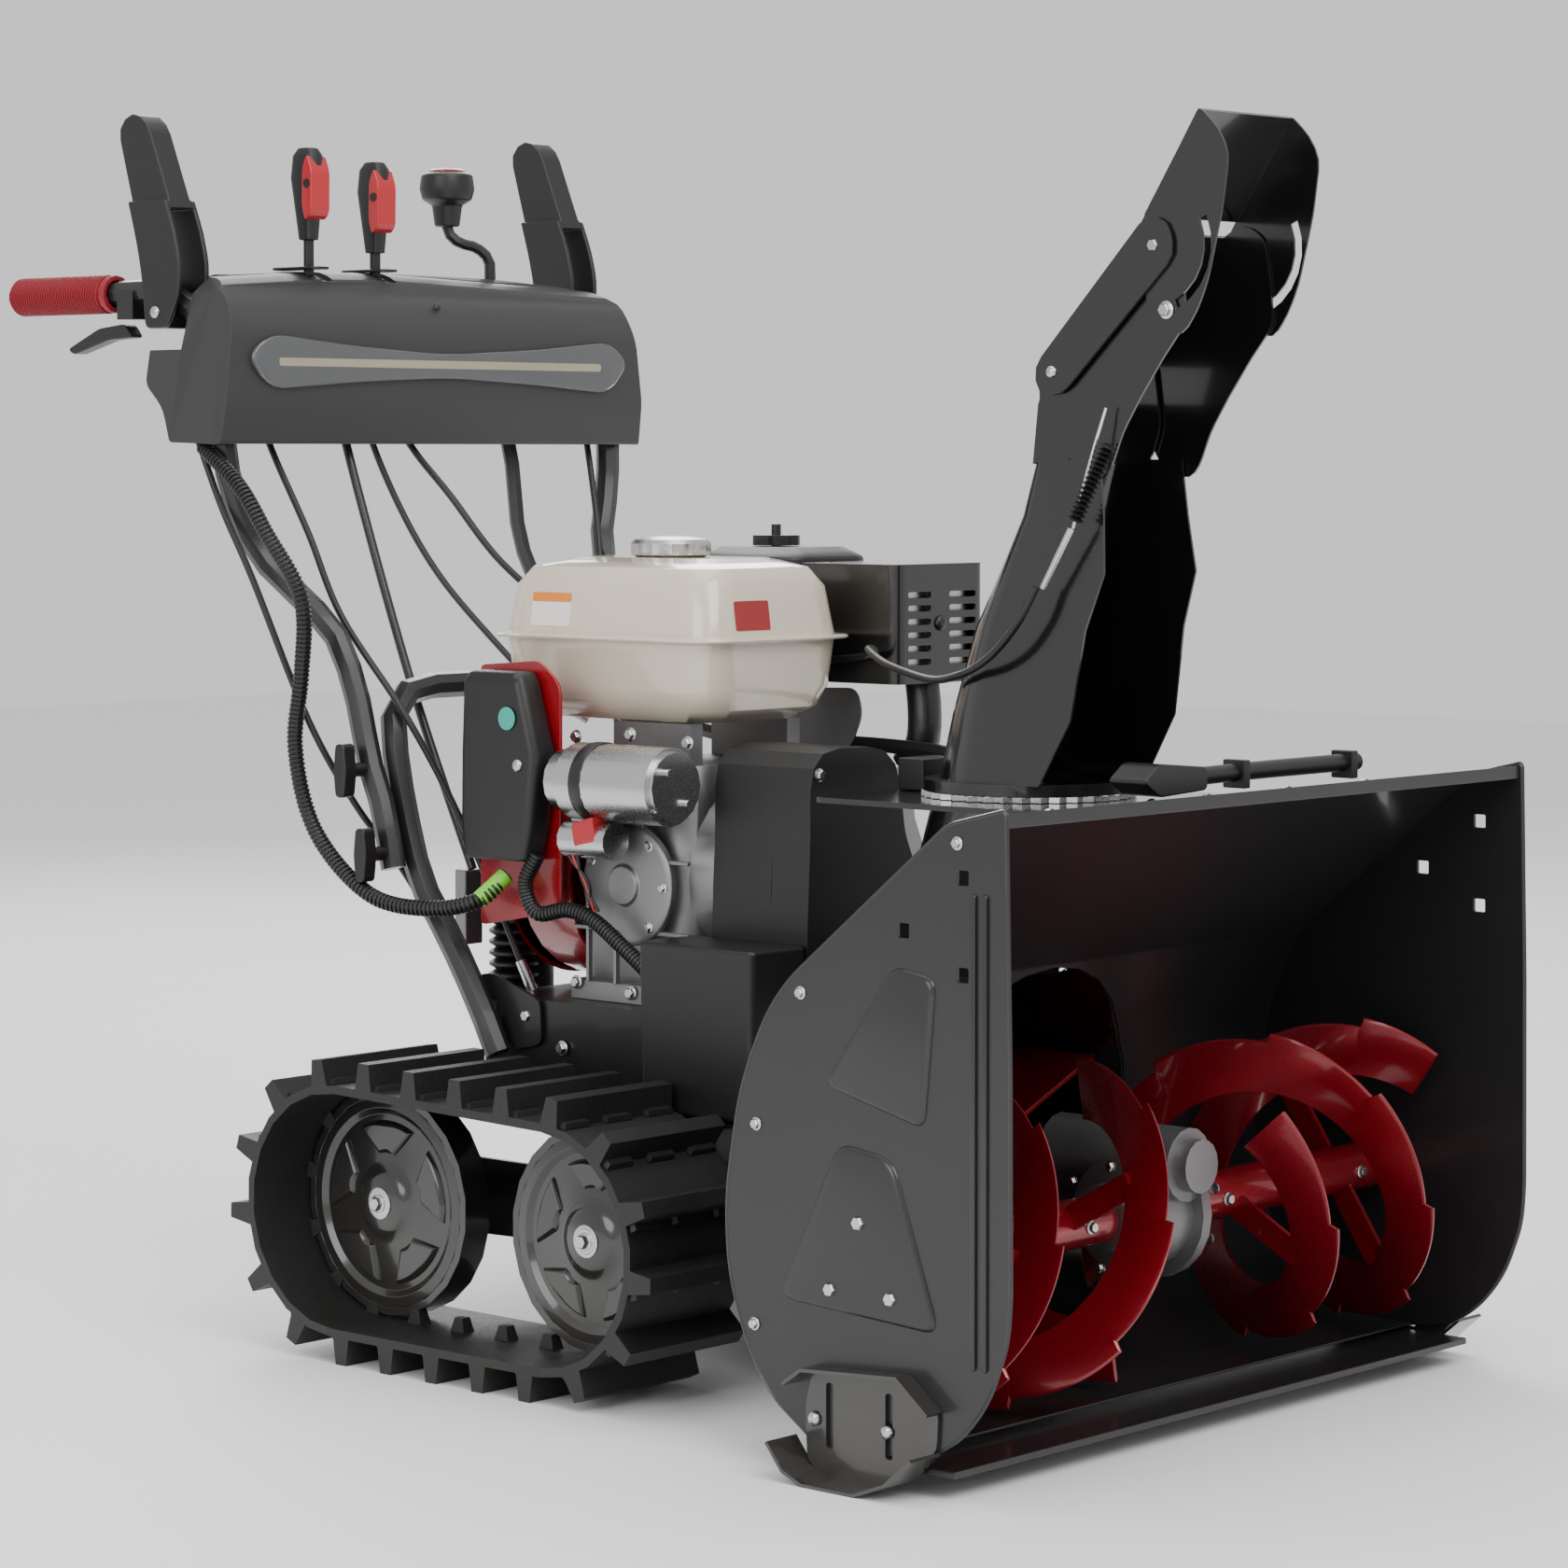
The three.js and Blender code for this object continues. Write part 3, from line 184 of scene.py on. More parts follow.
FINISHES = {
    "graphite_paint": finish_of("graphite_paint", (0.024, 0.0235, 0.0255), (0.032, 0.0315, 0.034), (0.26,
    0.38), 1500, 4e-5, 0.5, 0.3),
    "gloss_black_paint": finish_of("gloss_black_paint", (0.0035, 0.0035, 0.004), (0.006, 0.006, 0.0065),
    (0.14, 0.28), 500, 2e-5, 0.1, 0.7, 0.25),
    "satin_black_paint": finish_of("satin_black_paint", (0.006, 0.006, 0.0065), (0.01, 0.01, 0.0105),
    (0.28, 0.44), 800, 4e-5, 0.1, 0.15, 0.1),
    "auger_red_paint": finish_of("auger_red_paint", (0.2, 0.002, 0.008), (0.27, 0.004, 0.013), (0.2,
    0.32), 900, 3e-5, 0.55, 0.7),
    "cover_red_paint": finish_of("cover_red_paint", (0.26, 0.003, 0.008), (0.32, 0.006, 0.013), (0.2,
    0.34), 600, 2e-5, 0.15, 0.6),
    "cream_tank": finish_of("cream_enamel", (0.6, 0.535, 0.42), (0.66, 0.59, 0.475), (0.12, 0.22), 300,
    1e-5, 0, 0.8),
    "cast_aluminium": finish_of("cast_aluminium", (0.2, 0.2, 0.205), (0.3, 0.3, 0.305), (0.36, 0.58),
    1100, 2.5e-4, 0.85, 0, 0, 22),
    "zinc_plate": finish_of("zinc_plate", (0.48, 0.485, 0.49), (0.62, 0.62, 0.61), (0.18, 0.34), 700,
    3e-5, 1.0),
    "track_rubber": finish_of("track_rubber", (0.005, 0.005, 0.0052), (0.009, 0.009, 0.0088), (0.42,
    0.66), 350, 3e-4, 0, 0, 0.07, 12),
    "dash_plastic": finish_of("dash_plastic", (0.024, 0.0245, 0.0255), (0.028, 0.0285, 0.03), (0.42,
    0.56), 1400, 1.2e-4),
    "black_plastic": finish_of("black_plastic", (0.005, 0.005, 0.0055), (0.008, 0.008, 0.0085), (0.34,
    0.52), 1200, 8e-5),
    "grip_red": finish_of("grip_red", (0.22, 0.003, 0.011), (0.27, 0.006, 0.016), (0.42, 0.6), 900,
    1.5e-4),
    "clear_lens": finish_of(
        "clear_lens", (0.62, 0.63, 0.65), (0.7, 0.71, 0.72), (0.05, 0.14), 260, 2e-4,
        Transmission_Weight=0.92, IOR=1.45,
    ),
}
LED_CREAM = finish_of("led_strip", (0.85, 0.7, 0.42), (0.95, 0.84, 0.6), (0.3, 0.5), 300, 1e-4)
INSET_RED = finish_of("lever_inset_red", (0.38, 0.005, 0.011), (0.44, 0.009, 0.016), (0.22, 0.36), 700,
    5e-5, 0, 0.3)
LABEL_BLANK = finish_of("blank_label", (0.3, 0.012, 0.014), (0.34, 0.02, 0.02), (0.3, 0.45), 500, 2e-5)
LABEL_PALE = finish_of("pale_label", (0.8, 0.78, 0.72), (0.84, 0.82, 0.77), (0.35, 0.5), 500, 2e-5)
LABEL_ORANGE = finish_of("orange_label", (0.75, 0.2, 0.015), (0.8, 0.25, 0.03), (0.35, 0.5), 500, 2e-5)
TEAL_DOT = finish_of("teal_sticker", (0.02, 0.32, 0.26), (0.03, 0.38, 0.3), (0.35, 0.5), 500, 2e-5)
GREEN_SLEEVE = finish_of("green_sleeve", (0.16, 0.55, 0.02), (0.2, 0.65, 0.04), (0.35, 0.5), 500, 5e-5)


# ---------------------------------------------------------------- mesh makers, sizes in millimetres
def rounded(points, radius=0.0, steps=8):
    """A closed outline with each corner rounded by its own third number, or by radius."""
    out = []
    n = len(points)
    for i, point in enumerate(points):
        here = Vector(point[:2])
        back = Vector(points[i - 1][:2]) - here
        ahead = Vector(points[(i + 1) % n][:2]) - here
        reach = min(point[2] if len(point) > 2 else radius, back.length * 0.48, ahead.length * 0.48)
        if reach < 0.05:
            out.append(tuple(here))
            continue
        a, c = here + back.normalized() * reach, here + ahead.normalized() * reach
        for k in range(steps + 1):
            t = k / steps
            out.append(tuple(a * (1 - t) ** 2 + here * (2 * t * (1 - t)) + c * t * t))
    return out


def spline(points, per=8):
    """Points along a Catmull-Rom curve through the given ones."""
    p = [Vector(q) for q in points]
    p = [p[0] * 2 - p[1], *p, p[-1] * 2 - p[-2]]
    out = []
    for i in range(1, len(p) - 2):
        for k in range(per):
            t = k / per
            a, b, c, d = p[i - 1 : i + 3]
            out.append(
                0.5 * ((2 * b) + (c - a) * t
                       + (2 * a - 5 * b + 4 * c - d) * t * t + (3 * b - a - 3 * c + d) * t**3)
            )
    return [*out, p[-2]]


def lofted(rings, closed=True, caps=True):
    n = len(rings[0])
    verts = [tuple(v) for ring in rings for v in ring]
    faces = []
    for r in range(len(rings) - 1):
        for i in range(n if closed else n - 1):
            a, b = r * n + i, r * n + (i + 1) % n
            faces.append((a, b, b + n, a + n))
    if caps:
        faces += [tuple(range(n))[::-1], tuple(range((len(rings) - 1) * n, len(rings) * n))]
    return verts, faces


AXES = {"X": lambda a, b, t: (t, a, b), "Y": lambda a, b, t: (a, t, b), "Z": lambda a, b, t: (a, b, t)}


def pushed(axis, shape, low, high):
    """A flat outline pushed along an axis. Across X it holds (y, z), across Y (x, z), across Z (x, y)."""
    at = AXES[axis]
    return lofted([[at(a, b, t) for a, b in shape] for t in (low, high)])


def circle(radius, count=32, centre=(0, 0)):
    return [
        (centre[0] + radius * math.cos(k * math.tau / count),
        centre[1] + radius * math.sin(k * math.tau / count))
        for k in range(count)
    ]


def turned(axis, profile, p, q, count=40):
    """A turned solid about an axis through (p, q): its profile is (radius, place along the axis)."""
    at = AXES[axis]
    rings = [[at(p + a, q + b, t) for a, b in circle(max(r, 0.02), count)] for r, t in profile]
    return lofted(rings)


def tube(points, radius, count=14, per=8, radii=None):
    """A round tube through the points. radii gives a radius for each share of its length."""
    path = spline(points, per)
    side = Vector((0, 0, 1)).cross(path[1] - path[0])
    side = side.normalized() if side.length > 1e-6 else Vector((0, 1, 0))
    rings = []
    for i, here in enumerate(path):
        ahead = (path[min(i + 1, len(path) - 1)] - path[max(i - 1, 0)]).normalized()
        side = (side - ahead * side.dot(ahead)).normalized()
        up = ahead.cross(side)
        r = radii(i / (len(path) - 1)) if radii else radius
        rings.append([here + side * (r * a) + up * (r * b) for a, b in circle(1, count)])
    return lofted(rings)


def merged(*parts):
    verts, faces = [], []
    for v, f in parts:
        base = len(verts)
        verts += list(v)
        faces += [tuple(i + base for i in face) for face in f]
    return verts, faces


def box_of(x0, x1, y0, y1, z0, z1):
    return pushed("Z", [(x0, y0), (x1, y0), (x1, y1), (x0, y1)], z0, z1)


def mirrored(part, hand):
    return part if hand > 0 else ([(x, -y, z) for x, y, z in part[0]], part[1])


def baked(obj):
    """Applies the modifiers that obj has, leaving a plain mesh."""
    graph = bpy.context.evaluated_depsgraph_get()
    mesh = bpy.data.meshes.new_from_object(obj.evaluated_get(graph))
    obj.modifiers.clear()
    obj.data = mesh
    return obj


def dressed_mesh(obj, material, bevel, segments, sharp, subdivide=0):
    if bevel:
        edge = obj.modifiers.new("bevel", "BEVEL")
        edge.width = bevel * MM
        edge.segments = segments
        edge.limit_method = "ANGLE"
        edge.angle_limit = math.radians(34)
        edge.miter_outer = "MITER_ARC"
    if subdivide:
        soft = obj.modifiers.new("subdivide", "SUBSURF")
        soft.levels = soft.render_levels = subdivide
    if obj.modifiers:
        baked(obj)
    obj.data.materials.clear()
    obj.data.materials.append(material)
    obj.data.polygons.foreach_set("use_smooth", [True] * len(obj.data.polygons))
    obj.data.set_sharp_from_angle(angle=math.radians(sharp))
    if bevel:
        even = obj.modifiers.new("even", "WEIGHTED_NORMAL")
        even.keep_sharp = True
        baked(obj)
    obj.data.update()


def plain_mesh(name, part):
    """A mesh from (points in millimetres, faces), merged and with its normals outwards."""
    verts, faces = part
    mesh = bpy.data.meshes.new(name)
    mesh.from_pydata([Vector(v) * MM for v in verts], [], faces)
    work = bmesh.new()
    work.from_mesh(mesh)
    bmesh.ops.remove_doubles(work, verts=work.verts, dist=1e-6)
    bmesh.ops.recalc_face_normals(work, faces=work.faces)
    work.to_mesh(mesh)
    work.free()
    return mesh


def shape(name, part, finish, body, bevel=0.6, segments=2, sharp=36, subdivide=0, stands_for=(),
    cutters=()):
    """A new piece in its finish, riding on its body. part is (points in millimetres, faces)."""
    mesh = plain_mesh(name, part)
    obj = bpy.data.objects.new(name, mesh)
    bpy.context.scene.collection.objects.link(obj)
    tools = []
    for k, cutter in enumerate(cutters):
        tool_mesh = plain_mesh(f"{name}_cutter{k}", cutter)
        tool = bpy.data.objects.new(tool_mesh.name, tool_mesh)
        bpy.context.scene.collection.objects.link(tool)
        hole = obj.modifiers.new("hole", "BOOLEAN")
        hole.operation, hole.solver, hole.object = "DIFFERENCE", "EXACT", tool
        tools.append(tool)
    if tools:
        baked(obj)
        for tool in tools:
            bpy.data.objects.remove(tool)
    slot = finish if isinstance(finish, str) else None
    dressed_mesh(obj, FINISHES[finish] if slot else finish, bevel, segments, sharp, subdivide)
    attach(obj, body)
    if stands_for:
        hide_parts(*([stands_for] if isinstance(stands_for, str) else stands_for))
    return obj


def dress(node, bevel=0.8, segments=2, sharp=34, finish=None, warp=None):
    """A merged and bevelled copy of a CAD node that stands for it, in the node's own finish."""
    mesh = NODES[node].data.copy()
    work = bmesh.new()
    work.from_mesh(mesh)
    bmesh.ops.remove_doubles(work, verts=work.verts, dist=2e-5)
    flat = math.radians(1)
    bmesh.ops.dissolve_limit(work, angle_limit=flat, verts=work.verts, edges=work.edges)
    for vert in work.verts if warp else ():
        vert.co = warp(vert.co)
    work.to_mesh(mesh)
    work.free()
    obj = bpy.data.objects.new(f"{node}_skin", mesh)
    bpy.context.scene.collection.objects.link(obj)
    slot = finish or SLOT_OF[node]
    dressed_mesh(obj, FINISHES[slot], bevel, segments, sharp)
    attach(obj, BODY_OF[node])
    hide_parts(node)
    return obj


# ---------------------------------------------------------------- geometry node trees
def tree_of(name, inputs):
    tree = bpy.data.node_groups.new(name, "GeometryNodeTree")
    tree.interface.new_socket("Geometry", in_out="INPUT", socket_type="NodeSocketGeometry")
    for label, kind in inputs:
        tree.interface.new_socket(label, in_out="INPUT", socket_type=kind)
    tree.interface.new_socket("Geometry", in_out="OUTPUT", socket_type="NodeSocketGeometry")
    return tree, tree.nodes.new("NodeGroupInput"), tree.nodes.new("NodeGroupOutput")


def finish_tree(tree, inp, out, source):
    real = tree.nodes.new("GeometryNodeRealizeInstances")
    paint = tree.nodes.new("GeometryNodeSetMaterial")
    tree.links.new(source, real.inputs[0])
    tree.links.new(real.outputs[0], paint.inputs["Geometry"])
    tree.links.new(inp.outputs["Finish"], paint.inputs["Material"])
    tree.links.new(paint.outputs[0], out.inputs[0])
    return tree


def make_studs_tree():
    """Puts the item on every point, its Z axis along the point's stored direction."""
    tree, inp, out = tree_of(
        "items_on_points",
        [("Item", "NodeSocketObject"), ("Size", FLOAT), ("Finish", "NodeSocketMaterial")],
    )
    nodes, link = tree.nodes, tree.links.new
    info = nodes.new("GeometryNodeObjectInfo")
    link(inp.outputs["Item"], info.inputs["Object"])
    facing = nodes.new("GeometryNodeInputNamedAttribute")
    facing.data_type = "FLOAT_VECTOR"
    facing.inputs["Name"].default_value = "facing"
    align = nodes.new("FunctionNodeAlignRotationToVector")
    align.axis = "Z"
    link(facing.outputs["Attribute"], align.inputs["Vector"])
    put = nodes.new("GeometryNodeInstanceOnPoints")
    link(inp.outputs["Geometry"], put.inputs["Points"])
    link(info.outputs["Geometry"], put.inputs["Instance"])
    link(align.outputs["Rotation"], put.inputs["Rotation"])
    size = nodes.new("GeometryNodeInputNamedAttribute")
    size.data_type = "FLOAT"
    size.inputs["Name"].default_value = "size"
    scale = nodes.new("ShaderNodeMath")
    scale.operation = "MULTIPLY"
    link(size.outputs["Attribute"], scale.inputs[0])
    link(inp.outputs["Size"], scale.inputs[1])
    link(scale.outputs[0], put.inputs["Scale"])
    return finish_tree(tree, inp, out, put.outputs[0])


def make_along_tree():
    """Puts the item at even spacing along a curve, its Z axis along the curve."""
    tree, inp, out = tree_of(
        "items_along_path",
        [("Item", "NodeSocketObject"), ("Count", "NodeSocketInt"), ("Finish", "NodeSocketMaterial")],
    )
    nodes, link = tree.nodes, tree.links.new
    info = nodes.new("GeometryNodeObjectInfo")
    link(inp.outputs["Item"], info.inputs["Object"])
    curve = nodes.new("GeometryNodeMeshToCurve")
    link(inp.outputs["Geometry"], curve.inputs[0])
    even = nodes.new("GeometryNodeResampleCurve")
    link(curve.outputs[0], even.inputs["Curve"])
    link(inp.outputs["Count"], even.inputs["Count"])
    tangent = nodes.new("GeometryNodeInputTangent")
    align = nodes.new("FunctionNodeAlignRotationToVector")
    align.axis = "Z"
    link(tangent.outputs[0], align.inputs["Vector"])
    put = nodes.new("GeometryNodeInstanceOnPoints")
    link(even.outputs[0], put.inputs["Points"])
    link(info.outputs["Geometry"], put.inputs["Instance"])
    link(align.outputs["Rotation"], put.inputs["Rotation"])
    return finish_tree(tree, inp, out, put.outputs[0])


STUDS_TREE, ALONG_TREE = make_studs_tree(), make_along_tree()


def run_tree(obj, tree, values):
    modifier = obj.modifiers.new("repeat", "NODES")
    modifier.node_group = tree
    for item in tree.interface.items_tree:
        if item.item_type == "SOCKET" and item.in_out == "INPUT" and item.name in values:
            modifier[item.identifier] = values[item.name]
    return baked(obj)


def hidden_item(name, part, smooth=40):
    mesh = plain_mesh(name, part)
    mesh.polygons.foreach_set("use_smooth", [True] * len(mesh.polygons))
    mesh.set_sharp_from_angle(angle=math.radians(smooth))
    obj = bpy.data.objects.new(name, mesh)
    bpy.context.scene.collection.objects.link(obj)
    ITEMS.append(obj)
    return obj


def items_on_points(name, spots, item, finish, body, size=1.0):
    """spots are (x, y, z, facing) or (x, y, z, facing, size) in millimetres."""
    mesh = bpy.data.meshes.new(name)
    mesh.from_pydata([Vector(s[:3]) * MM for s in spots], [], [])
    facing = mesh.attributes.new("facing", "FLOAT_VECTOR", "POINT")
    facing.data.foreach_set("vector", [c for s in spots for c in s[3]])
    scale = mesh.attributes.new("size", "FLOAT", "POINT")
    scale.data.foreach_set("value", [float(s[4]) if len(s) > 4 else 1.0 for s in spots])
    obj = bpy.data.objects.new(name, mesh)
    bpy.context.scene.collection.objects.link(obj)
    run_tree(obj, STUDS_TREE, {"Item": item, "Size": size, "Finish": FINISHES[finish]})
    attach(obj, body)
    return obj


def items_along(name, points, item, count, finish, body, per=10, stands_for=()):
    path = spline(points, per)
    mesh = bpy.data.meshes.new(name)
    mesh.from_pydata([Vector(p) * MM for p in path], [(i, i + 1) for i in range(len(path) - 1)], [])
    obj = bpy.data.objects.new(name, mesh)
    bpy.context.scene.collection.objects.link(obj)
    run_tree(obj, ALONG_TREE, {"Item": item, "Count": count, "Finish": FINISHES[finish]})
    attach(obj, body)
    if stands_for:
        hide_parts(stands_for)
    return obj


# ---------------------------------------------------------------- small repeated items
HEX = [(1.0 * math.cos(k * math.tau / 6), 1.0 * math.sin(k * math.tau / 6)) for k in range(6)]
bolt_part = merged(
    turned("Z", [(7.4, 0), (7.8, 0.3), (7.8, 1.2), (7.4, 1.5)], 0, 0, 24),
    lofted([[(6.0 * s * a, 6.0 * s * b, z) for a, b in HEX] for s, z in ((1, 1.5), (1, 5.2),
    (0.86, 6.1))]),
)
dome_part = turned("Z", [(7.0, 0), (6.9, 1.0), (6.1, 2.4), (4.4, 3.5), (2.2, 4.1), (0.1, 4.3)], 0, 0, 24)
bolt_item, dome_item = hidden_item("bolt_item", bolt_part), hidden_item("dome_item", dome_part)
ring_item = hidden_item("ring_item", turned("Z", [(6.4, -1.5), (8.0, -0.9), (8.0, 0.9), (6.4, 1.5)], 0, 0,
    16))


# ---------------------------------------------------------------- auger housing
PLATE_OUTLINE = [
    (690, 569, 6), (628, 554, 12), (437, 400, 60), (401, 320, 30), (384, 224, 30), (388, 157, 30), (410,
    99, 30),
    (435, 62, 20), (490, 26, 14), (606, 32, 16), (643, 53, 20), (673, 88, 24), (692, 138, 30), (695, 172,
    20), (694, 365, 10),
]
SQUARES = ((645, 512), (582, 465), (645, 433))


def raised(outline, side, base, height, inset):
    """A pressed panel: the outline at the sheet, drawn in as it rises outwards."""
    centre = Vector((sum(p[0] for p in outline), sum(p[1] for p in outline))) / len(outline)
    rings = []
    for share, lift in ((0, -0.4), (0.0, 0.0), (0.35, 0.55), (0.8, 0.95), (1.0, 1.0)):
        ring = []
        for p in outline:
            v = Vector(p) - centre
            v *= 1 - inset * share / max(v.length, 1)
            ring.append((centre.x + v.x, side * (base + height * lift), centre.y + v.y))
        rings.append(ring)
    return lofted(rings)


for word, side in SIDES:
    lo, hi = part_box(f"side_plate_{word}")
    outer = max(abs(lo[1]), abs(hi[1])) / MM
    inner = min(abs(lo[1]), abs(hi[1])) / MM
    holes = [
        pushed("Y", rounded([(x - 6, z - 6), (x + 6, z - 6), (x + 6, z + 6), (x - 6, z + 6)], 1.5, 4),
        side * (inner - 4), side * (outer + 4))
        for x, z in SQUARES
    ]
    shape(f"side_plate_{word}_skin", pushed("Y", rounded(PLATE_OUTLINE, 8), side * inner, side * outer),
          "graphite_paint", "machine", 1.2, 3, 30, stands_for=f"side_plate_{word}", cutters=holes)
    reliefs = [
        raised(rounded([(618, 428), (572, 436), (496, 330), (606, 303)], 14), side, outer, 3.2, 5),
        raised(rounded([(446, 146), (622, 136), (572, 276), (512, 284)], 18), side, outer, 3.2, 5),
        raised(rounded([(655, 112), (660, 112), (660, 500), (655, 500)], 2.4), side, outer, 2.2, 1.6),
        raised(rounded([(667, 112), (672, 112), (672, 500), (667, 500)], 2.4), side, outer, 2.2, 1.6),
    ]
    shape(f"side_plate_{word}_pressings", merged(*reliefs), "graphite_paint", "machine", 0, 1, 50)
    lip = [(x, side * (outer - 1.2), z) for x, z in rounded(PLATE_OUTLINE, 8)]
    shape(f"side_plate_{word}_rim", tube([*lip, lip[0]], 1.9, 8, 1), "graphite_paint", "machine", 0)
    face = (0, side, 0)
    spots = [(x, side * (outer + 0.2), z, face) for x, z in ((536, 219), (505, 160), (571, 160))]
    spots += [(x, side * (outer + 0.2), z, face, 0.72) for x, z in ((470, 405), (420, 290), (640, 540),
        (418, 120))]
    items_on_points(f"plate_bolts_{word}", spots, bolt_item, "zinc_plate", "machine")
    items_on_points(f"skid_bolts_{word}", [(x, side * (outer + 4.6), z, face) for x,
        z in ((489, 50), (569, 50))],
                    dome_item, "zinc_plate", "machine", 0.9)

for node, bevel in (
    ("skid_shoe_right", 1.2), ("skid_shoe_left", 1.2), ("housing_back", 0.6), ("scraper_bar", 1.0),
    ("impeller_drum", 0.8),
    ("auger_shaft", 0.8), ("impeller", 0.7), ("chute_ring_gear", 0.6), ("chute_drive", 1.6),
    ("transmission_frame", 0.8),
    ("transmission_case", 4), ("drive_belt", 0.8), ("battery_box", 4), ("engine_pulley", 1),
    ("track_frame", 1), ("drive_axle", 0.8),
):
    dress(node, bevel, 3 if bevel > 1 else 2)
items_on_points(
    "back_sheet_bolts",
    [(x, y, z, (-0.66, 0, 0.75)) for x, y, z in ((622, -100, 555), (622, -20, 555), (622, 100, 555),
    (622, 220, 555), (622, -240, 555))],
    dome_item, "zinc_plate", "machine", 0.8,
)

# The clearing tool lies along the top sheet, held by two clips.
shape("cleaning_tool_shaft", tube([(634, -60, 576), (634, 40, 577), (634, 190, 577)], 8, 20),
    "black_plastic", "machine", 0)
shape("cleaning_tool_blade", pushed("X",
    rounded([(-60, 566), (-60, 586), (-128, 592), (-150, 577), (-128, 563)], 6), 614, 654),
      "black_plastic", "machine", 1.6, 3)
items_along("cleaning_tool_ribs", [(634, 90, 577), (634, 140, 577), (634, 188, 577)], ring_item, 22,
    "black_plastic", "machine")
shape("cleaning_tool_clips", merged(*[box_of(622, 646, y, y + 9, 563, 588) for y in (4, 168)]),
    "black_plastic", "machine", 1.4, 3)


# ---------------------------------------------------------------- augers and gearbox
AUGER_X, AUGER_Z = 537, 182
AUGER_RADIUS, RIBBON_INNER, AUGER_PITCH = 143, 88, 300
AUGER_START, AUGER_LENGTH = 64, 288
STEP_DEPTH, STEP_ANGLE = 9, 45


def ribbon(phase, hand):
    rings = []
    for i in range(AUGER_LENGTH + 1):
        y = AUGER_START + i
        turn = math.radians(phase + 360 * i / AUGER_PITCH)
        edge = AUGER_RADIUS - STEP_DEPTH * ((360 * i / AUGER_PITCH / STEP_ANGLE) % 1)
        ring = []
        for r, t in ((RIBBON_INNER, -2), (RIBBON_INNER, 2), (edge - 3, 2), (edge, 0.8), (edge, -0.8),
            (edge - 3, -2)):
            ring.append((AUGER_X + r * math.cos(turn), y + t, AUGER_Z - r * math.sin(turn)))
        rings.append(ring)
    return mirrored(lofted(rings), hand)


for word, side, phase in (("right", -1, 261), ("left", 1, 320)):
    parts = []
    for start in (0, 180):
        parts.append(ribbon(phase + start, side))
        for share in (0.2, 0.8):
            y = AUGER_START + AUGER_LENGTH * share
            turn = math.radians(phase + start + 360 * (y - AUGER_START) / AUGER_PITCH)
            c, s = math.cos(turn), math.sin(turn)
            arm = lofted([
                [(AUGER_X + r * c - w * s, side * (y + t), AUGER_Z - r * s - w * c) for w,
                t in ((-11, -2.5), (11, -2.5), (11, 2.5), (-11, 2.5))]
                for r in (20, 55, 94)
            ])
            parts.append(arm)
    hub = turned("Y", [(22, 61), (22, 118), (22, 240), (22, 362)], AUGER_X, AUGER_Z, 40)
    parts.append(mirrored(hub, side))
    shape(f"auger_{word}_skin", merged(*parts), "auger_red_paint", "augers", 0, 1, 24,
        stands_for=f"auger_{word}")
    spots = [(AUGER_X + 22, side * y, AUGER_Z, (1, 0, 0), 0.8) for y in (100, 310)]
    items_on_points(f"shear_bolts_{word}", spots, bolt_item, "zinc_plate", "augers")
dress("auger_gearbox", 4, 4, 50)
spots = []
for k in range(6):
    a = k * math.tau / 6 + 0.4
    spots.append((AUGER_X + 46 * math.cos(a), -33, AUGER_Z + 46 * math.sin(a), (0, -1, 0), 0.7))
    spots.append((AUGER_X + 46 * math.cos(a), 33, AUGER_Z + 46 * math.sin(a), (0, 1, 0), 0.7))
gear_low, gear_high = [[c / MM for c in corner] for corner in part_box("auger_gearbox")]
items_on_points("gearbox_bolts", [(x, gear_low[1] + 8 if y < 0 else gear_high[1] - 8, z, f, s) for x, y,
    z, f, s in spots],
                bolt_item, "zinc_plate", "machine")


# ---------------------------------------------------------------- chute
for node, bevel in (("chute_lower", 0.7), ("chute_middle", 0.8), ("chute_top", 0.8)):
    dress(node, bevel, 3, 30)
for side in (-1, 1):
    face = (0, side, 0)
    items_on_points(f"chute_hinge_pins_{side + 1}", [(490, side * 71.6, 927, face, 0.8)], dome_item,
        "zinc_plate", "chute_guide")
    items_on_points(f"chute_cap_pins_{side + 1}", [(601, side * 68, 1035, face, 0.9),
        (614, side * 68, 979, face, 1.0)],
                    bolt_item, "zinc_plate", "chute_guide")
shape("chute_adjuster", tube([(523, -84, 790), (493, -86, 737)], 3.6, 18), "zinc_plate", "chute", 0)
items_along("chute_boot", [(557, -76, 861), (540, -79, 828), (526, -82, 798)],
            hidden_item("boot_fold", turned("Z", [(4, -2), (7.5, 0), (4, 2)], 0, 0, 20)), 16,
            "black_plastic", "chute")
shape("deflector_wire", tube([(523, -82, 790), (540, -79, 850), (553, -74, 895)], 1.6, 10), "zinc_plate",
    "chute", 0)

# The deflector cable joins the machine to the turning chute, so it is one tube shared by both.
DEFLECTOR_CABLE = [
    (488, -90, 738), (472, -96, 706), (448, -98, 680), (420, -94, 664), (385, -80, 655), (340, -52, 650),
    (297, -30, 652),
    (240, -4, 660), (190, 30, 670), (156, 76, 668), (124, 108, 660), (60, 109, 654), (-80, 109, 652),
    (-172, 105, 660),
    (-236, 60, 690), (-282, 10, 745), (-328, -18, 813), (-376, -22, 858), (-402, -30, 900), (-412, -42,
    950),
]
cable_part = tube(DEFLECTOR_CABLE, 3.6, 14, 8)
cable = bpy.data.meshes.new("deflector_cable_skin")
cable.from_pydata([Vector(v) * MM for v in cable_part[0]], [], cable_part[1])
cable_obj = bpy.data.objects.new("deflector_cable_skin", cable)
bpy.context.scene.collection.objects.link(cable_obj)
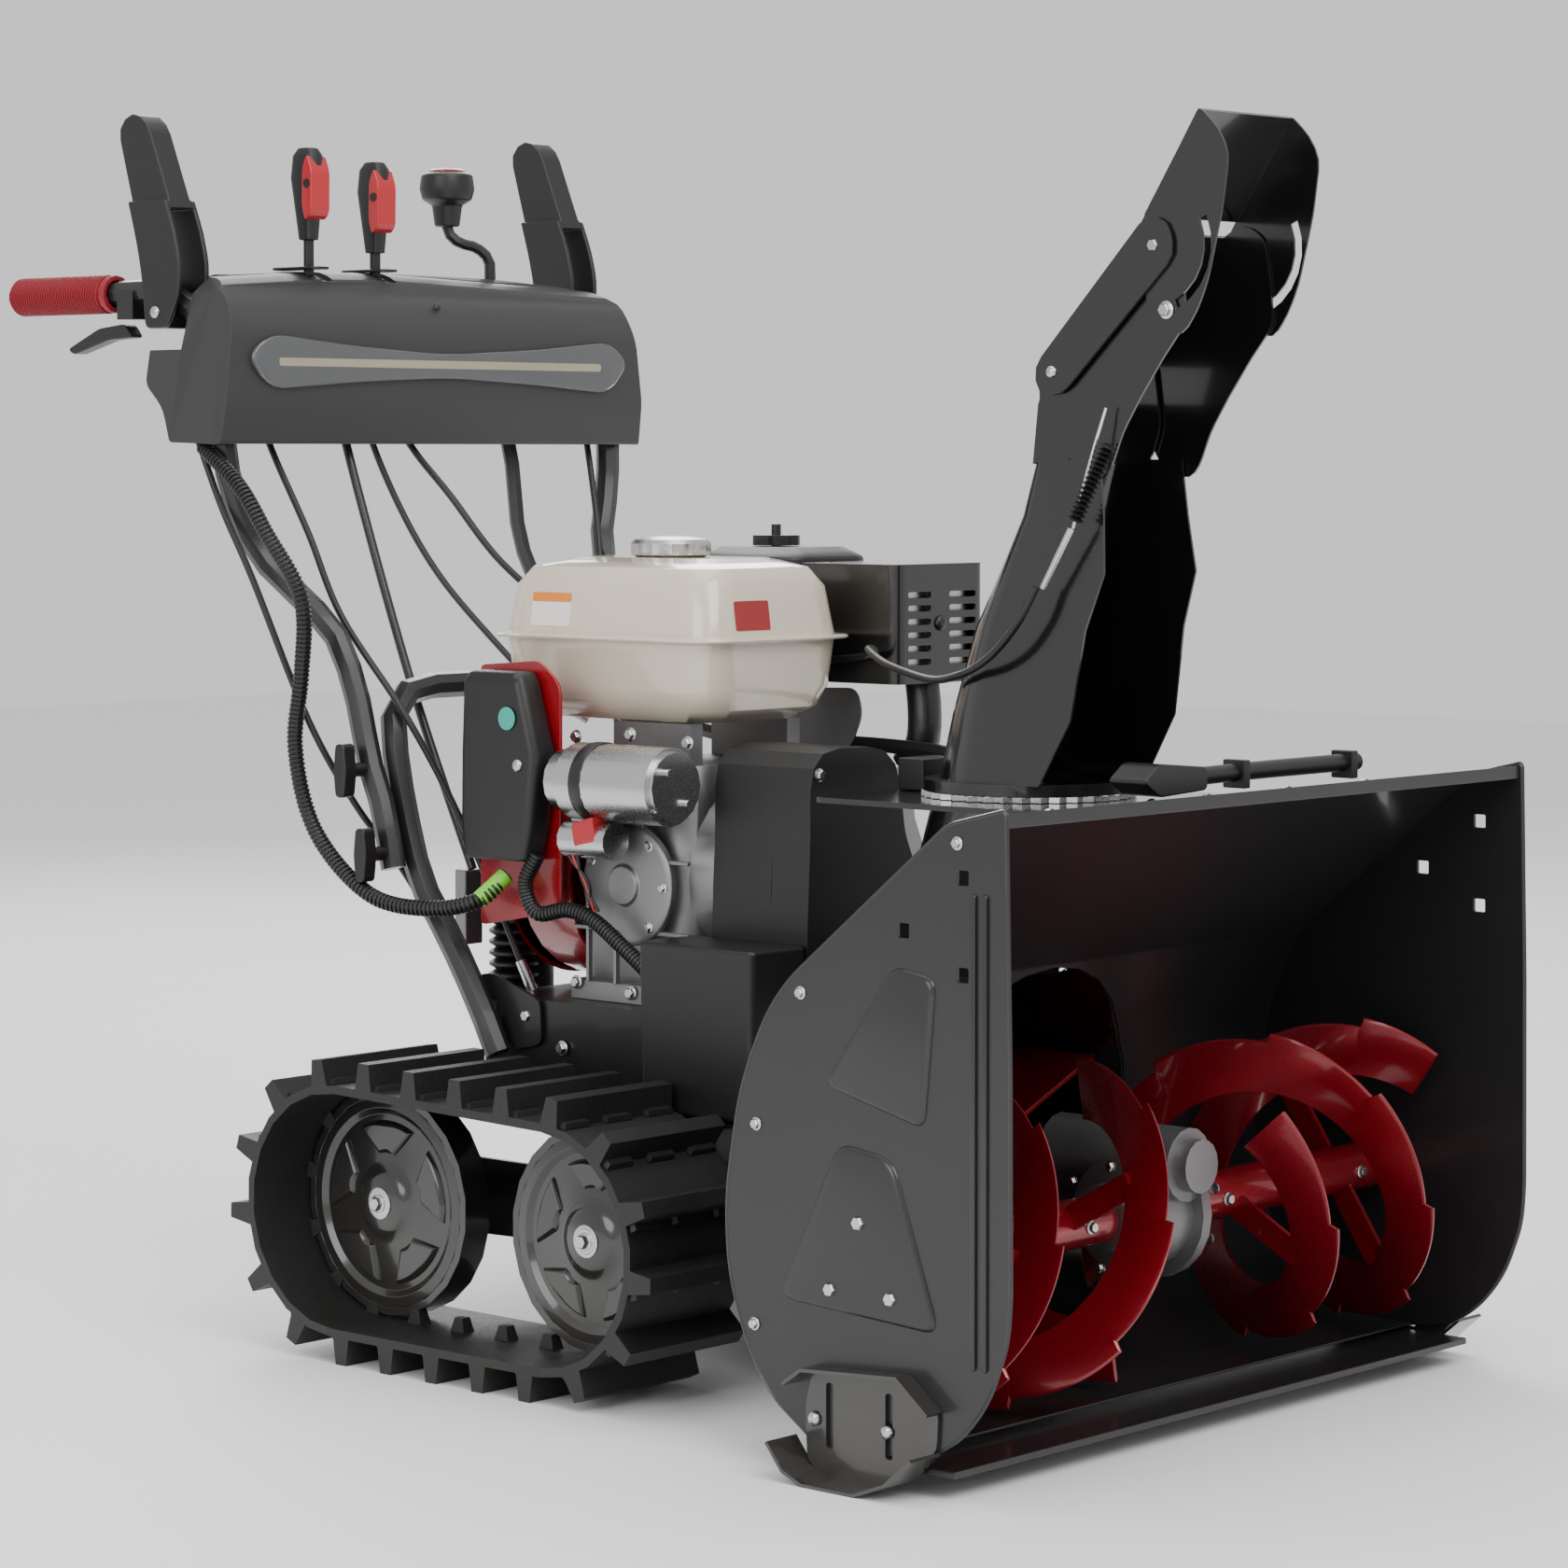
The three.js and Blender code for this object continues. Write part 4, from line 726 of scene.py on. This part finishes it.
dressed_mesh(cable_obj, FINISHES["black_plastic"], 0, 1, 50)
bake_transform(cable_obj)
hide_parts("deflector_cable")


# ---------------------------------------------------------------- tank, engine and covers
TANK = (
    (-150, 74, 72, 600, 30), (-168, 92, 88, 612, 36), (-177, 100, 95, 632, 36), (-181, 104, 99, 676, 34),
    (-191, 114, 109, 677, 38),
    (-191, 114, 109, 681, 38), (-181, 104, 99, 682, 34), (-175, 98, 93, 728, 36), (-163, 86, 82, 746, 36),
    (-133, 56, 54, 755, 30),
)
rings = []
for x0, x1, half, z, corner in TANK:
    outline = rounded([(x0, -half), (x1, -half), (x1, half), (x0, half)], corner * 1.1, 10)
    rings.append([(x, y, z) for x, y in outline])
shape("fuel_tank_skin", lofted(rings), "cream_tank", "machine", 1.1, 3, 60, stands_for="fuel_tank")
shape("tank_seam",
    tube([(x, y, 679) for x,
    y in [*rounded([(-191, -109), (114, -109), (114, 109), (-191, 109)], 42, 10)]][:], 1.4, 8, 1),
      "cream_tank", "machine", 0)
knurl = []
for r, z in ((33, 755), (38, 757), (39, 760), (39, 768), (36, 772), (30, 773), (20, 774.5), (0.1, 775)):
    knurl.append([((r - (1.3 if k % 2 and 757 <= z <= 770 else 0)) * math.cos(k * math.tau / 48) - 38,
                   (r - (1.3 if k % 2 and 757 <= z <= 770 else 0)) * math.sin(k * math.tau / 48), z)
                   for k in range(48)])
shape("fuel_cap_skin", lofted(knurl), "zinc_plate", "tank_cap", 0, 1, 30, stands_for="fuel_cap")
for node, bevel, segments in (
    ("fan_cover", 2.2, 3), ("control_box", 9, 5), ("starter_motor", 1.6, 3), ("muffler", 3, 3),
    ("air_cleaner", 7, 5), ("air_cleaner_knob", 1.4, 3), ("crankcase", 4, 4), ("engine_cylinder", 0.8, 2),
    ("belt_cover", 3, 4),
    ("gas_strut", 1.0, 2), ("handle_frame", 0.5, 2), ("upper_handle_right", 0.5, 2), ("upper_handle_left",
    0.5, 2),
    ("chute_crank", 0.5, 2), ("flex_shaft", 0, 1), ("wiring_conduit", 0, 1),
):
    dress(node, bevel, segments, 40)
engine_bolts = []
for x, z in ((-50, 350), (96, 350), (-50, 585), (96, 585), (22, 345), (22, 590)):
    engine_bolts.append((x, -118.2, z, (0, -1, 0), 0.85))
items_on_points("crankcase_bolts", engine_bolts, bolt_item, "zinc_plate", "machine")
FAN_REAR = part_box("fan_cover")[0][0] / MM
slots = []
for k in range(28):
    a = k * math.tau / 28
    c, s = math.cos(a), math.sin(a)
    slots.append(lofted([[(FAN_REAR - t, r * c - w * s, 448 + r * s + w * c) for r, w in ((38, -2.2),
        (82, -3.6), (82, 3.6), (38, 2.2))]
                         for t in (0.2, 2.4)]))
shape("recoil_louvres", merged(*slots), "satin_black_paint", "machine", 0.5, 2)
rings = []
for k in range(3):
    rings.append(turned("X", [(r, FAN_REAR - 0.1 + t) for r,
        t in ((90 + 6 * k, 0), (92 + 6 * k, -1.6), (94 + 6 * k, 0))], 0, 448, 64))
shape("recoil_rings", merged(*rings), "cover_red_paint", "machine", 0)
ribs = [pushed("Y", rounded([(x, 352), (x + 4, 352), (x + 4, 572), (x, 572)], 1.5), -123, -117)
    for x in (-34, 2, 38)]
ribs += [pushed("Y", rounded([(-52, z), (98, z), (98, z + 4), (-52, z + 4)], 1.5), -122, -117)
    for z in (402, 470, 556)]
ribs.append(turned("Y", [(58, -117), (58, -124), (52, -127), (20, -128), (18, -132)], 22, 448, 56))
shape("crankcase_ribs", merged(*ribs), "cast_aluminium", "machine", 1.2, 2)
items_on_points("crank_cover_bolts",
    [(22 + 49 * math.cos(k * math.tau / 7), -126.4, 448 + 49 * math.sin(k * math.tau / 7), (0, -1, 0),
    0.66)
                                      for k in range(7)], bolt_item, "zinc_plate", "machine")
LOOM = [(-54, -168, 474), (-66, -172, 446), (-52, -170, 420), (-22, -160, 424), (6, -154, 416), (40, -148,
    392), (70, -142, 368)]
shape("engine_loom", tube(LOOM, 6.5, 14), "black_plastic", "machine", 0)
items_along("engine_loom_ribs", LOOM, hidden_item("loom_ring_item",
    turned("Z", [(6, -1.8), (7.6, -1), (7.6, 1), (6, 1.8)], 0, 0, 16)), 56,
            "black_plastic", "machine", 12)
for k, lane in enumerate(((0, 0), (6, -3), (-5, 4))):
    shape(f"engine_wire_{k}",
        tube([(-20 + lane[0], -160, 500 + lane[1]), (-8 + lane[0], -166, 476), (2 + lane[1], -160, 452),
        (6 + lane[0], -152, 424)], 1.7, 10),
          "black_plastic" if k else INSET_RED, "machine", 0)
shape("starter_plug", pushed("Y", rounded([(2, 486), (30, 492), (26, 516), (-2, 508)], 4), -176, -156),
    INSET_RED, "machine", 2, 3)
shape("starter_terminals", merged(turned("X", [(4, 104), (4, 118)], -166, 560, 16),
    turned("X", [(4, 104), (4, 116)], -138, 530, 16)),
      "zinc_plate", "machine", 0.4)
shape("heat_shield", pushed("Y", rounded([(-58, 560), (70, 566), (86, 600), (78, 626), (-64, 622)], 12),
    141, 143.4),
      "cast_aluminium", "machine", 0.6, 2)
shape("cylinder_head_cover",
    merged(pushed("X", rounded([(232, 392), (272, 410), (254, 516), (214, 500)], 12), -40, 56)),
      "cast_aluminium", "machine", 3, 4)
shape("exhaust_gasket", pushed("X", rounded([(160, 640), (208, 640), (208, 668), (160, 668)], 10), 126,
    129.5), "zinc_plate", "machine", 0.8)
cover_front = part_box("belt_cover")[1][0] / MM
spots = [(cover_front - 0.2, y, z, (1, 0, 0), 0.8) for y, z in ((-88, 360), (76, 360), (-88, 560),
    (76, 560))]
items_on_points("belt_cover_bolts", spots, bolt_item, "zinc_plate", "machine")
items_on_points("control_box_screws", [(-64, -184.2, 560, (0, -1, 0), 0.9)], dome_item, "zinc_plate",
    "machine")
shape("service_dot", turned("Y", [(11, -184.2), (11, -185.0), (0.1, -185.1)], -78, 604, 40), TEAL_DOT,
    "machine", 0)
GUARD = [(22, 118), (151, 118), (151, 250), (22, 250)]
slots = []
for row in range(6):
    for y0, y1 in ((134, 168), (196, 236)):
        slots.append(pushed("X",
            rounded([(y0, 650 + 13 * row), (y1, 650 + 13 * row), (y1, 656 + 13 * row), (y0,
            656 + 13 * row)], 2.8, 4), 140, 160))
for k in range(9):
    y = 130 + 13 * k
    slots.append(pushed("Z", rounded([(118, y), (142, y), (142, y + 5), (118, y + 5)], 2.2, 4), 738, 760))
for k in range(6):
    slots.append(pushed("Z",
        rounded([(34 + 13 * k, 126), (39 + 13 * k, 126), (39 + 13 * k, 146), (34 + 13 * k, 146)], 2.2, 4),
        738, 760))
slots.append(pushed("Z",
    rounded([(x + (2.5 if x < 90 else -2.5), y + (2.5 if y < 180 else -2.5)) for x, y in GUARD], 9), 620,
    745.5))
shape("muffler_guard_skin", pushed("Z", rounded(GUARD, 12), 632, 748), "gloss_black_paint", "machine",
    0.6, 2, 40,
      stands_for="muffler_guard", cutters=slots)
shape("silencer_end", pushed("X", rounded([(132, 644), (236, 644), (236, 726), (132, 726)], 16), 139.4,
    141.4), "zinc_plate", "machine", 0.6, 2)
items_on_points("guard_screw", [(151.2, 182, 690, (1, 0, 0), 1.1)], dome_item, "satin_black_paint",
    "machine")
items_on_points("starter_bolts",
    [(104.4, -150 + 30 * math.cos(a), 546 + 30 * math.sin(a), (1, 0, 0), 0.6) for a in (0.8, 3.9)],
                bolt_item, "zinc_plate", "machine")
shape("starter_band", turned("X", [(37.6, 6), (38.2, 8), (38.2, 18), (37.6, 20)], -150, 546, 48),
    "satin_black_paint", "machine", 0)


# ---------------------------------------------------------------- tracks and wheels
# Each wheel: x, z and the radius of the belt round it
DRIVE_WHEEL, REAR_WHEEL = (114, 140, 115), (-160, 144, 119)
for word, side in SIDES:
    dress(f"track_belt_{word}", 2.0, 3, 50)

    def loop(offset):
        """Points and outward directions round the belt, offset from its outer surface."""
        out = []
        for (cx, cz, r), a0, a1 in ((DRIVE_WHEEL, -90, 90), (REAR_WHEEL, 90, 270)):
            for k in range(25):
                a = math.radians(a0 + (a1 - a0) * k / 24)
                d = (math.cos(a), 0, math.sin(a))
                out.append(((cx + (r + offset) * d[0], cz + (r + offset) * d[2]), d))
        return out

    def spaced(offset, count):
        pts = loop(offset)
        pts.append(pts[0])
        lengths = [0.0]
        for (p, _), (q, _) in zip(pts, pts[1:]):
            lengths.append(lengths[-1] + math.dist(p, q))
        out = []
        for k in range(count):
            want = lengths[-1] * k / count
            i = max(j for j in range(len(lengths) - 1) if lengths[j] <= want)
            share = (want - lengths[i]) / max(lengths[i + 1] - lengths[i], 1e-6)
            (p, d), (q, e) = pts[i], pts[i + 1]
            direction = Vector(d).lerp(Vector(e), share)
            out.append((p[0] + (q[0] - p[0]) * share, p[1] + (q[1] - p[1]) * share,
                direction.normalized()))
        return out

    horn = hidden_item(f"horn_{word}_item",
        lofted([[(-9, -7, 0), (9, -7, 0), (9, 7, 0), (-9, 7, 0)], [(-5, -5, -13), (5, -5, -13),
        (5, 5, -13), (-5, 5, -13)]]))
    items_on_points(f"belt_horns_{word}", [(x, side * 260, z, d) for x, z, d in spaced(-8, 21)], horn,
        "track_rubber", "carriage")
    cleat = hidden_item(f"cleat_{word}_item", lofted([
        [(-5, -17, 0), (5, -17, 0), (5, 17, 0), (-5, 17, 0)], [(-3.4, -15, 5), (3.4, -15, 5),
        (3.4, 15, 5), (-3.4, 15, 5)]]))
    middles = spaced(0, 42)[1::2]
    items_on_points(f"belt_cleats_{word}", [(x, side * y, z, d) for x, z, d in middles
        for y in (206, 260, 314)], cleat,
                    "track_rubber", "carriage")
    for wheel, body, cx, cz, rim in (("idler_wheel", f"idler_{word}", -160, 144, 104), ("drive_wheel",
        "drive_wheels", 114, 140, 100)):
        node = f"{wheel}_{word}"
        dress(node, 1.6, 3, 40)
        lo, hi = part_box(node)
        face = max(abs(lo[1]), abs(hi[1])) / MM
        disc = turned("Y", [(rim - 3, side * (face - 9)), (rim - 4, side * (face - 4)),
            (rim - 14, side * (face - 3)), (rim - 20, side * (face - 7)),
                            (40, side * (face - 5)), (30, side * (face + 1)), (24, side * (face + 4.6)),
                            (0.1, side * (face + 4.6))], cx, cz, 72)
        petals = []
        for k in range(5):
            mid = 90 + 72 * k
            outline = []
            for r, spread in ((46, 15), (rim - 26, 27)):
                sweep = range(-6, 7) if r == 46 else range(6, -7, -1)
                outline += [(cx + r * math.cos(math.radians(mid + spread * t / 6)),
                    cz + r * math.sin(math.radians(mid + spread * t / 6))) for t in sweep]
            petals.append(raised(outline, side, face - 6.4, 4.2, 6))
        shape(f"{node}_disc", merged(disc, *petals), "gloss_black_paint", body, 0.5, 2, 40)
        shape(f"{node}_washer", turned("Y",
            [(15, side * (face + 4.4)), (15, side * (face + 6.0)), (13, side * (face + 6.4))], cx, cz,
            32),
              "zinc_plate", body, 0)
        items_on_points(f"{node}_bolt", [(cx, side * (face + 6.2), cz, (0, side, 0), 1.1)], bolt_item,
            "zinc_plate", body)


# ---------------------------------------------------------------- handles, dash and levers
def dash_taper(at):
    """The dash narrows towards its top, as a hood does."""
    share = min(max((at.z - 0.9) / 0.14, 0), 1)
    return Vector((at.x, at.y * (1 - 0.09 * share * share),
        at.z - 0.012 * share * (abs(at.y) / 0.3) ** 3))


dress("dash_panel", 3, 4, 50, warp=dash_taper)
LENS = [(0, 955), (-130, 962), (-236, 972), (-266, 950), (-236, 918), (-130, 926), (0, 932),
        (130, 926), (236, 918), (266, 950), (236, 972), (130, 962)]
shape("light_lens_skin", pushed("X", rounded(LENS, 34, 12), -354.4, -349), "clear_lens", "machine", 1.2,
    3, 50, stands_for="light_lens")
back = [(0, 957), (-128, 963), (-232, 972), (-258, 950), (-232, 920), (-128, 928), (0, 934), (128, 928),
    (232, 920), (258, 950), (232, 972), (128, 963)]
shape("light_reflector", pushed("X", rounded(back, 8), -355.4, -354.8), "dash_plastic", "machine", 0)
shape("led_strip", pushed("X", rounded([(-225, 941), (225, 941), (225, 949), (-225, 949)], 3), -354.6,
    -353.4), LED_CREAM, "machine", 0)
for k, z in enumerate((898, 884)):
    shape(f"dash_line_{k}",
        tube([(-360.5 - k, -262, z), (-360.5 - k, -130, z - 4), (-360.5 - k, 0, z - 6), (-360.5 - k, 130,
        z - 4), (-360.5 - k, 262, z)], 1.8, 10),
          "dash_plastic", "machine", 0)
shape("dash_slot_trims", merged(*[
    pushed("Z", rounded([(-446, y - 12), (-378, y - 12), (-378, y + 12), (-446, y + 12)], 10), 1038.6,
    1041.4) for y in (-143, -50)]),
    "black_plastic", "machine", 0.8, 2)
items_on_points("dash_screw", [(-364.6, 0, 1004, (0.92, 0, 0.39), 0.6)], dome_item,
                "satin_black_paint", "machine")
for node, x, y, top in (("speed_lever", -400, -143, 1160), ("deflector_lever", -403, -50, 1150)):
    dress(node, 2.4, 4, 50)
    lo, hi = [[c / MM for c in corner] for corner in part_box(node)]
    shape(f"{node}_inset", merged(
        pushed("Y",
        rounded([(hi[0] - 9, top - 74), (hi[0] + 0.6, top - 66), (hi[0] + 1.2, top - 24), (hi[0] - 6,
        top - 6), (hi[0] - 13, top - 20), (hi[0] - 14, top - 58)], 6),
               y - 12.6, y + 12.6)), INSET_RED, node, 2.5, 4)
    shape(f"{node}_hole", turned("Y", [(4.6, y - 13.2), (4.6, y - 12.8), (3.4, y - 12.6)], hi[0] - 6,
        top - 36, 24), "black_plastic", node, 0)
dress("crank_knob", 2.0, 3, 50)
knob_low, knob_high = [[c / MM for c in corner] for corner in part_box("crank_knob")]
kx, ky = (knob_low[0] + knob_high[0]) / 2, (knob_low[1] + knob_high[1]) / 2
shape("crank_knob_cap", turned("Z",
    [(19, knob_high[2] - 2), (19, knob_high[2] + 0.6), (16, knob_high[2] + 2.2), (8, knob_high[2] + 3),
    (0.1, knob_high[2] + 3.2)], kx, ky),
      INSET_RED, "crank_handle", 0)
big_ring = hidden_item("grip_ring_item", turned("Z",
    [(17.6, -1.3), (19.4, -0.5), (19.4, 0.5), (17.6, 1.3)], 0, 0, 32))
for word, side in SIDES:
    y = side * 273
    dress(f"grip_{word}", 1.6, 3, 50)
    items_along(f"grip_ribs_{word}", [(-552, y, 1014), (-620, y, 1014), (-686, y, 1014)], big_ring, 38,
        "grip_red", "machine", 20)
    dress(f"clutch_lever_{word}", 2, 4, 60)
    shape(f"clutch_inset_{word}", tube([(-456, y, 1112), (-478, y, 1158), (-497, y, 1180)], 4.2, 12, 10,
                                        lambda t: 4.2 * math.sin(math.pi * min(max(t, 0.04),
                                        0.96)) ** 0.5), INSET_RED,
          f"clutch_{word}", 0)
    items_on_points(f"clutch_pivot_{word}", [(-458, y + side * 20.2, 994, (0, side, 0), 0.9)], dome_item,
        "zinc_plate", "machine")
    for k, (x, z) in enumerate(((-250, 549), (-222, 469))):
        knob = merged(turned("Y", [(7, side * 206), (7, side * 232)], x, z, 20),
                      pushed("Y",
                      rounded([(x - 6, z - 26), (x + 6, z - 26), (x + 9, z), (x + 6, z + 26), (x - 6,
                      z + 26), (x - 9, z)], 5),
                             side * 226, side * 242))
        shape(f"handle_knob_{word}_{k}", knob, "black_plastic", "machine", 2.2, 3)
    items_on_points(f"frame_bolts_{word}", [(x, side * 152, z, (0, side, 0), 0.9) for x,
        z in ((-83, 318), (-36, 291))], bolt_item,
                    "zinc_plate", "machine")
dress("height_trigger", 1.6, 3, 50)

CABLES = {
    "right_clutch_cable": [(-430, -290, 930), (-408, -290, 887), (-378, -279, 805), (-342, -270, 733),
    (-296, -240, 597), (-273, -200, 514),
                           (-239, -169, 450), (-176, -154, 362)],
    "throttle_cable": [(-420, -62, 950), (-404, -60, 880), (-378, -40, 800), (-340, -20, 730), (-280, 0,
    664), (-222, 16, 612), (-190, 40, 588)],
    "brake_cable": [(-420, 252, 960), (-396, 246, 880), (-362, 230, 780), (-320, 200, 660), (-262, 170,
    520), (-200, 150, 400)],
    "drive_clutch_cable": [(-420, -200, 916), (-393, -200, 860), (-339, -200, 777), (-303, -189, 695),
    (-238, -169, 605), (-204, -140, 523),
                           (-160, -120, 424), (-129, -100, 334)],
}
for name, points in CABLES.items():
    shape(name, tube(points, 3.4, 14), "black_plastic", "machine", 0)
    shape(f"{name}_end", tube([points[-1], [a + (b - a) * 0.32 for a, b in zip(points[-1], points[-2])]],
        5.0, 14, 4), "zinc_plate", "machine", 0)
shape("shift_rod", tube([(-412, -100, 950), (-394, -100, 868), (-300, -100, 630), (-213, -99, 447)], 4.6,
    16), "satin_black_paint", "machine", 0)
shape("shift_block", box_of(-246, -230, -92, -68, 370, 444), "cast_aluminium", "machine", 2, 3)
CONDUIT = [
    (-392, -288, 861), (-339, -289, 823), (-306, -284, 778), (-274, -268, 715), (-284, -259, 643), (-299,
    -254, 570),
    (-282, -244, 490), (-220, -232, 432), (-157, -212, 420), (-110, -190, 430), (-99, -166, 452),
]
conduit_ring = hidden_item("conduit_ring_item", turned("Z",
    [(6.4, -1.9), (7.9, -1.1), (7.9, 1.1), (6.4, 1.9)], 0, 0, 16))
items_along("conduit_ribs", CONDUIT, conduit_ring, 150, "black_plastic", "machine", 12)
shape("conduit_sleeve", tube([(-110, -190, 430), (-104, -178, 441), (-99, -166, 452)], 8.6, 16, 6),
    GREEN_SLEEVE, "machine", 0)
bellows_item = hidden_item("bellows_item", turned("Z", [(19, -5), (25, -1.4), (25, 1.4), (19, 5)], 0, 0,
    32))
items_along("strut_bellows", [(-230, -25, 314), (-230, -25, 385), (-230, -25, 456)], bellows_item, 14,
    "black_plastic", "machine", 12)

# Blank labels take the place of the printed ones.
def label(name, a0, a1, z0, z1, finish, lift, front=False):
    """A blank label on the tank's leaning side, or on its leaning front."""
    def at(a, z, out):
        fall = (z - 682) * 6 / 46
        return (104 + out - fall, a, z) if front else (a, -99 - out + fall, z)

    outline = rounded([(a0, z0), (a1, z0), (a1, z1), (a0, z1)], 2.5)
    shape(name, lofted([[at(a, z, lift + t) for a, z in outline] for t in (-0.5, 0)]), finish, "machine",
        0)


label("tank_label_pale", -132, -80, 689, 712, LABEL_PALE, 0.5)
label("tank_label_orange", -132, -80, 712.5, 721, LABEL_ORANGE, 0.6)
label("tank_label_red", -60, -12, 688, 716, LABEL_BLANK, 0.6, front=True)

for item in ITEMS:
    bpy.data.objects.remove(item)


# ---------------------------------------------------------------- studio
def area(name, place, aim, size, power):
    light = bpy.data.lights.new(name, "AREA")
    light.size, light.energy = size, power
    obj = bpy.data.objects.new(name, light)
    bpy.context.scene.collection.objects.link(obj)
    obj.location = place
    obj.rotation_euler = (Vector(aim) - Vector(place)).to_track_quat("-Z", "Y").to_euler()
    return obj


floor_mesh = bpy.data.meshes.new("studio_floor")
rings = [[(-9, y, 0), (9, y, 0)] for y in (-9, 9)]
floor_mesh.from_pydata([rings[0][0], rings[0][1], rings[1][1], rings[1][0]], [], [(0, 1, 2, 3)])
floor = bpy.data.objects.new("studio_floor", floor_mesh)
bpy.context.scene.collection.objects.link(floor)
floor_mesh.materials.append(finish_of("pale_floor", (0.9, 0.9, 0.9), (0.92, 0.92, 0.92), (0.6, 0.75), 200,
    1e-5))
lights = [
    area("key_light", (3.4, -1.2, 3.6), (0.1, 0, 0.5), 2.6, 120),
    area("side_light", (0.6, -4.2, 2.0), (0, 0, 0.5), 2.2, 60),
    area("rim_light", (-3.2, 2.6, 3.0), (0, 0, 0.7), 2.4, 100),
    area("top_light", (0, 0, 4.2), (0, 0, 0.4), 3.4, 70),
]
world = bpy.data.worlds.new("studio")
bpy.context.scene.world = world
world.use_nodes = True
world.node_tree.nodes["Background"].inputs["Color"].default_value = (1.0, 1.0, 1.0, 1)
world.node_tree.nodes["Background"].inputs["Strength"].default_value = 0.9
camera_data = bpy.data.cameras.new("camera")
camera_data.lens, camera_data.sensor_width = 103.33, 36
camera_data.shift_y = -0.112
camera = bpy.data.objects.new("camera", camera_data)
bpy.context.scene.collection.objects.link(camera)
camera.location = (2.9636, -3.1791, 0.8573)
camera.rotation_euler = (math.radians(88), 0, math.radians(41.914))
bpy.context.scene.camera = camera
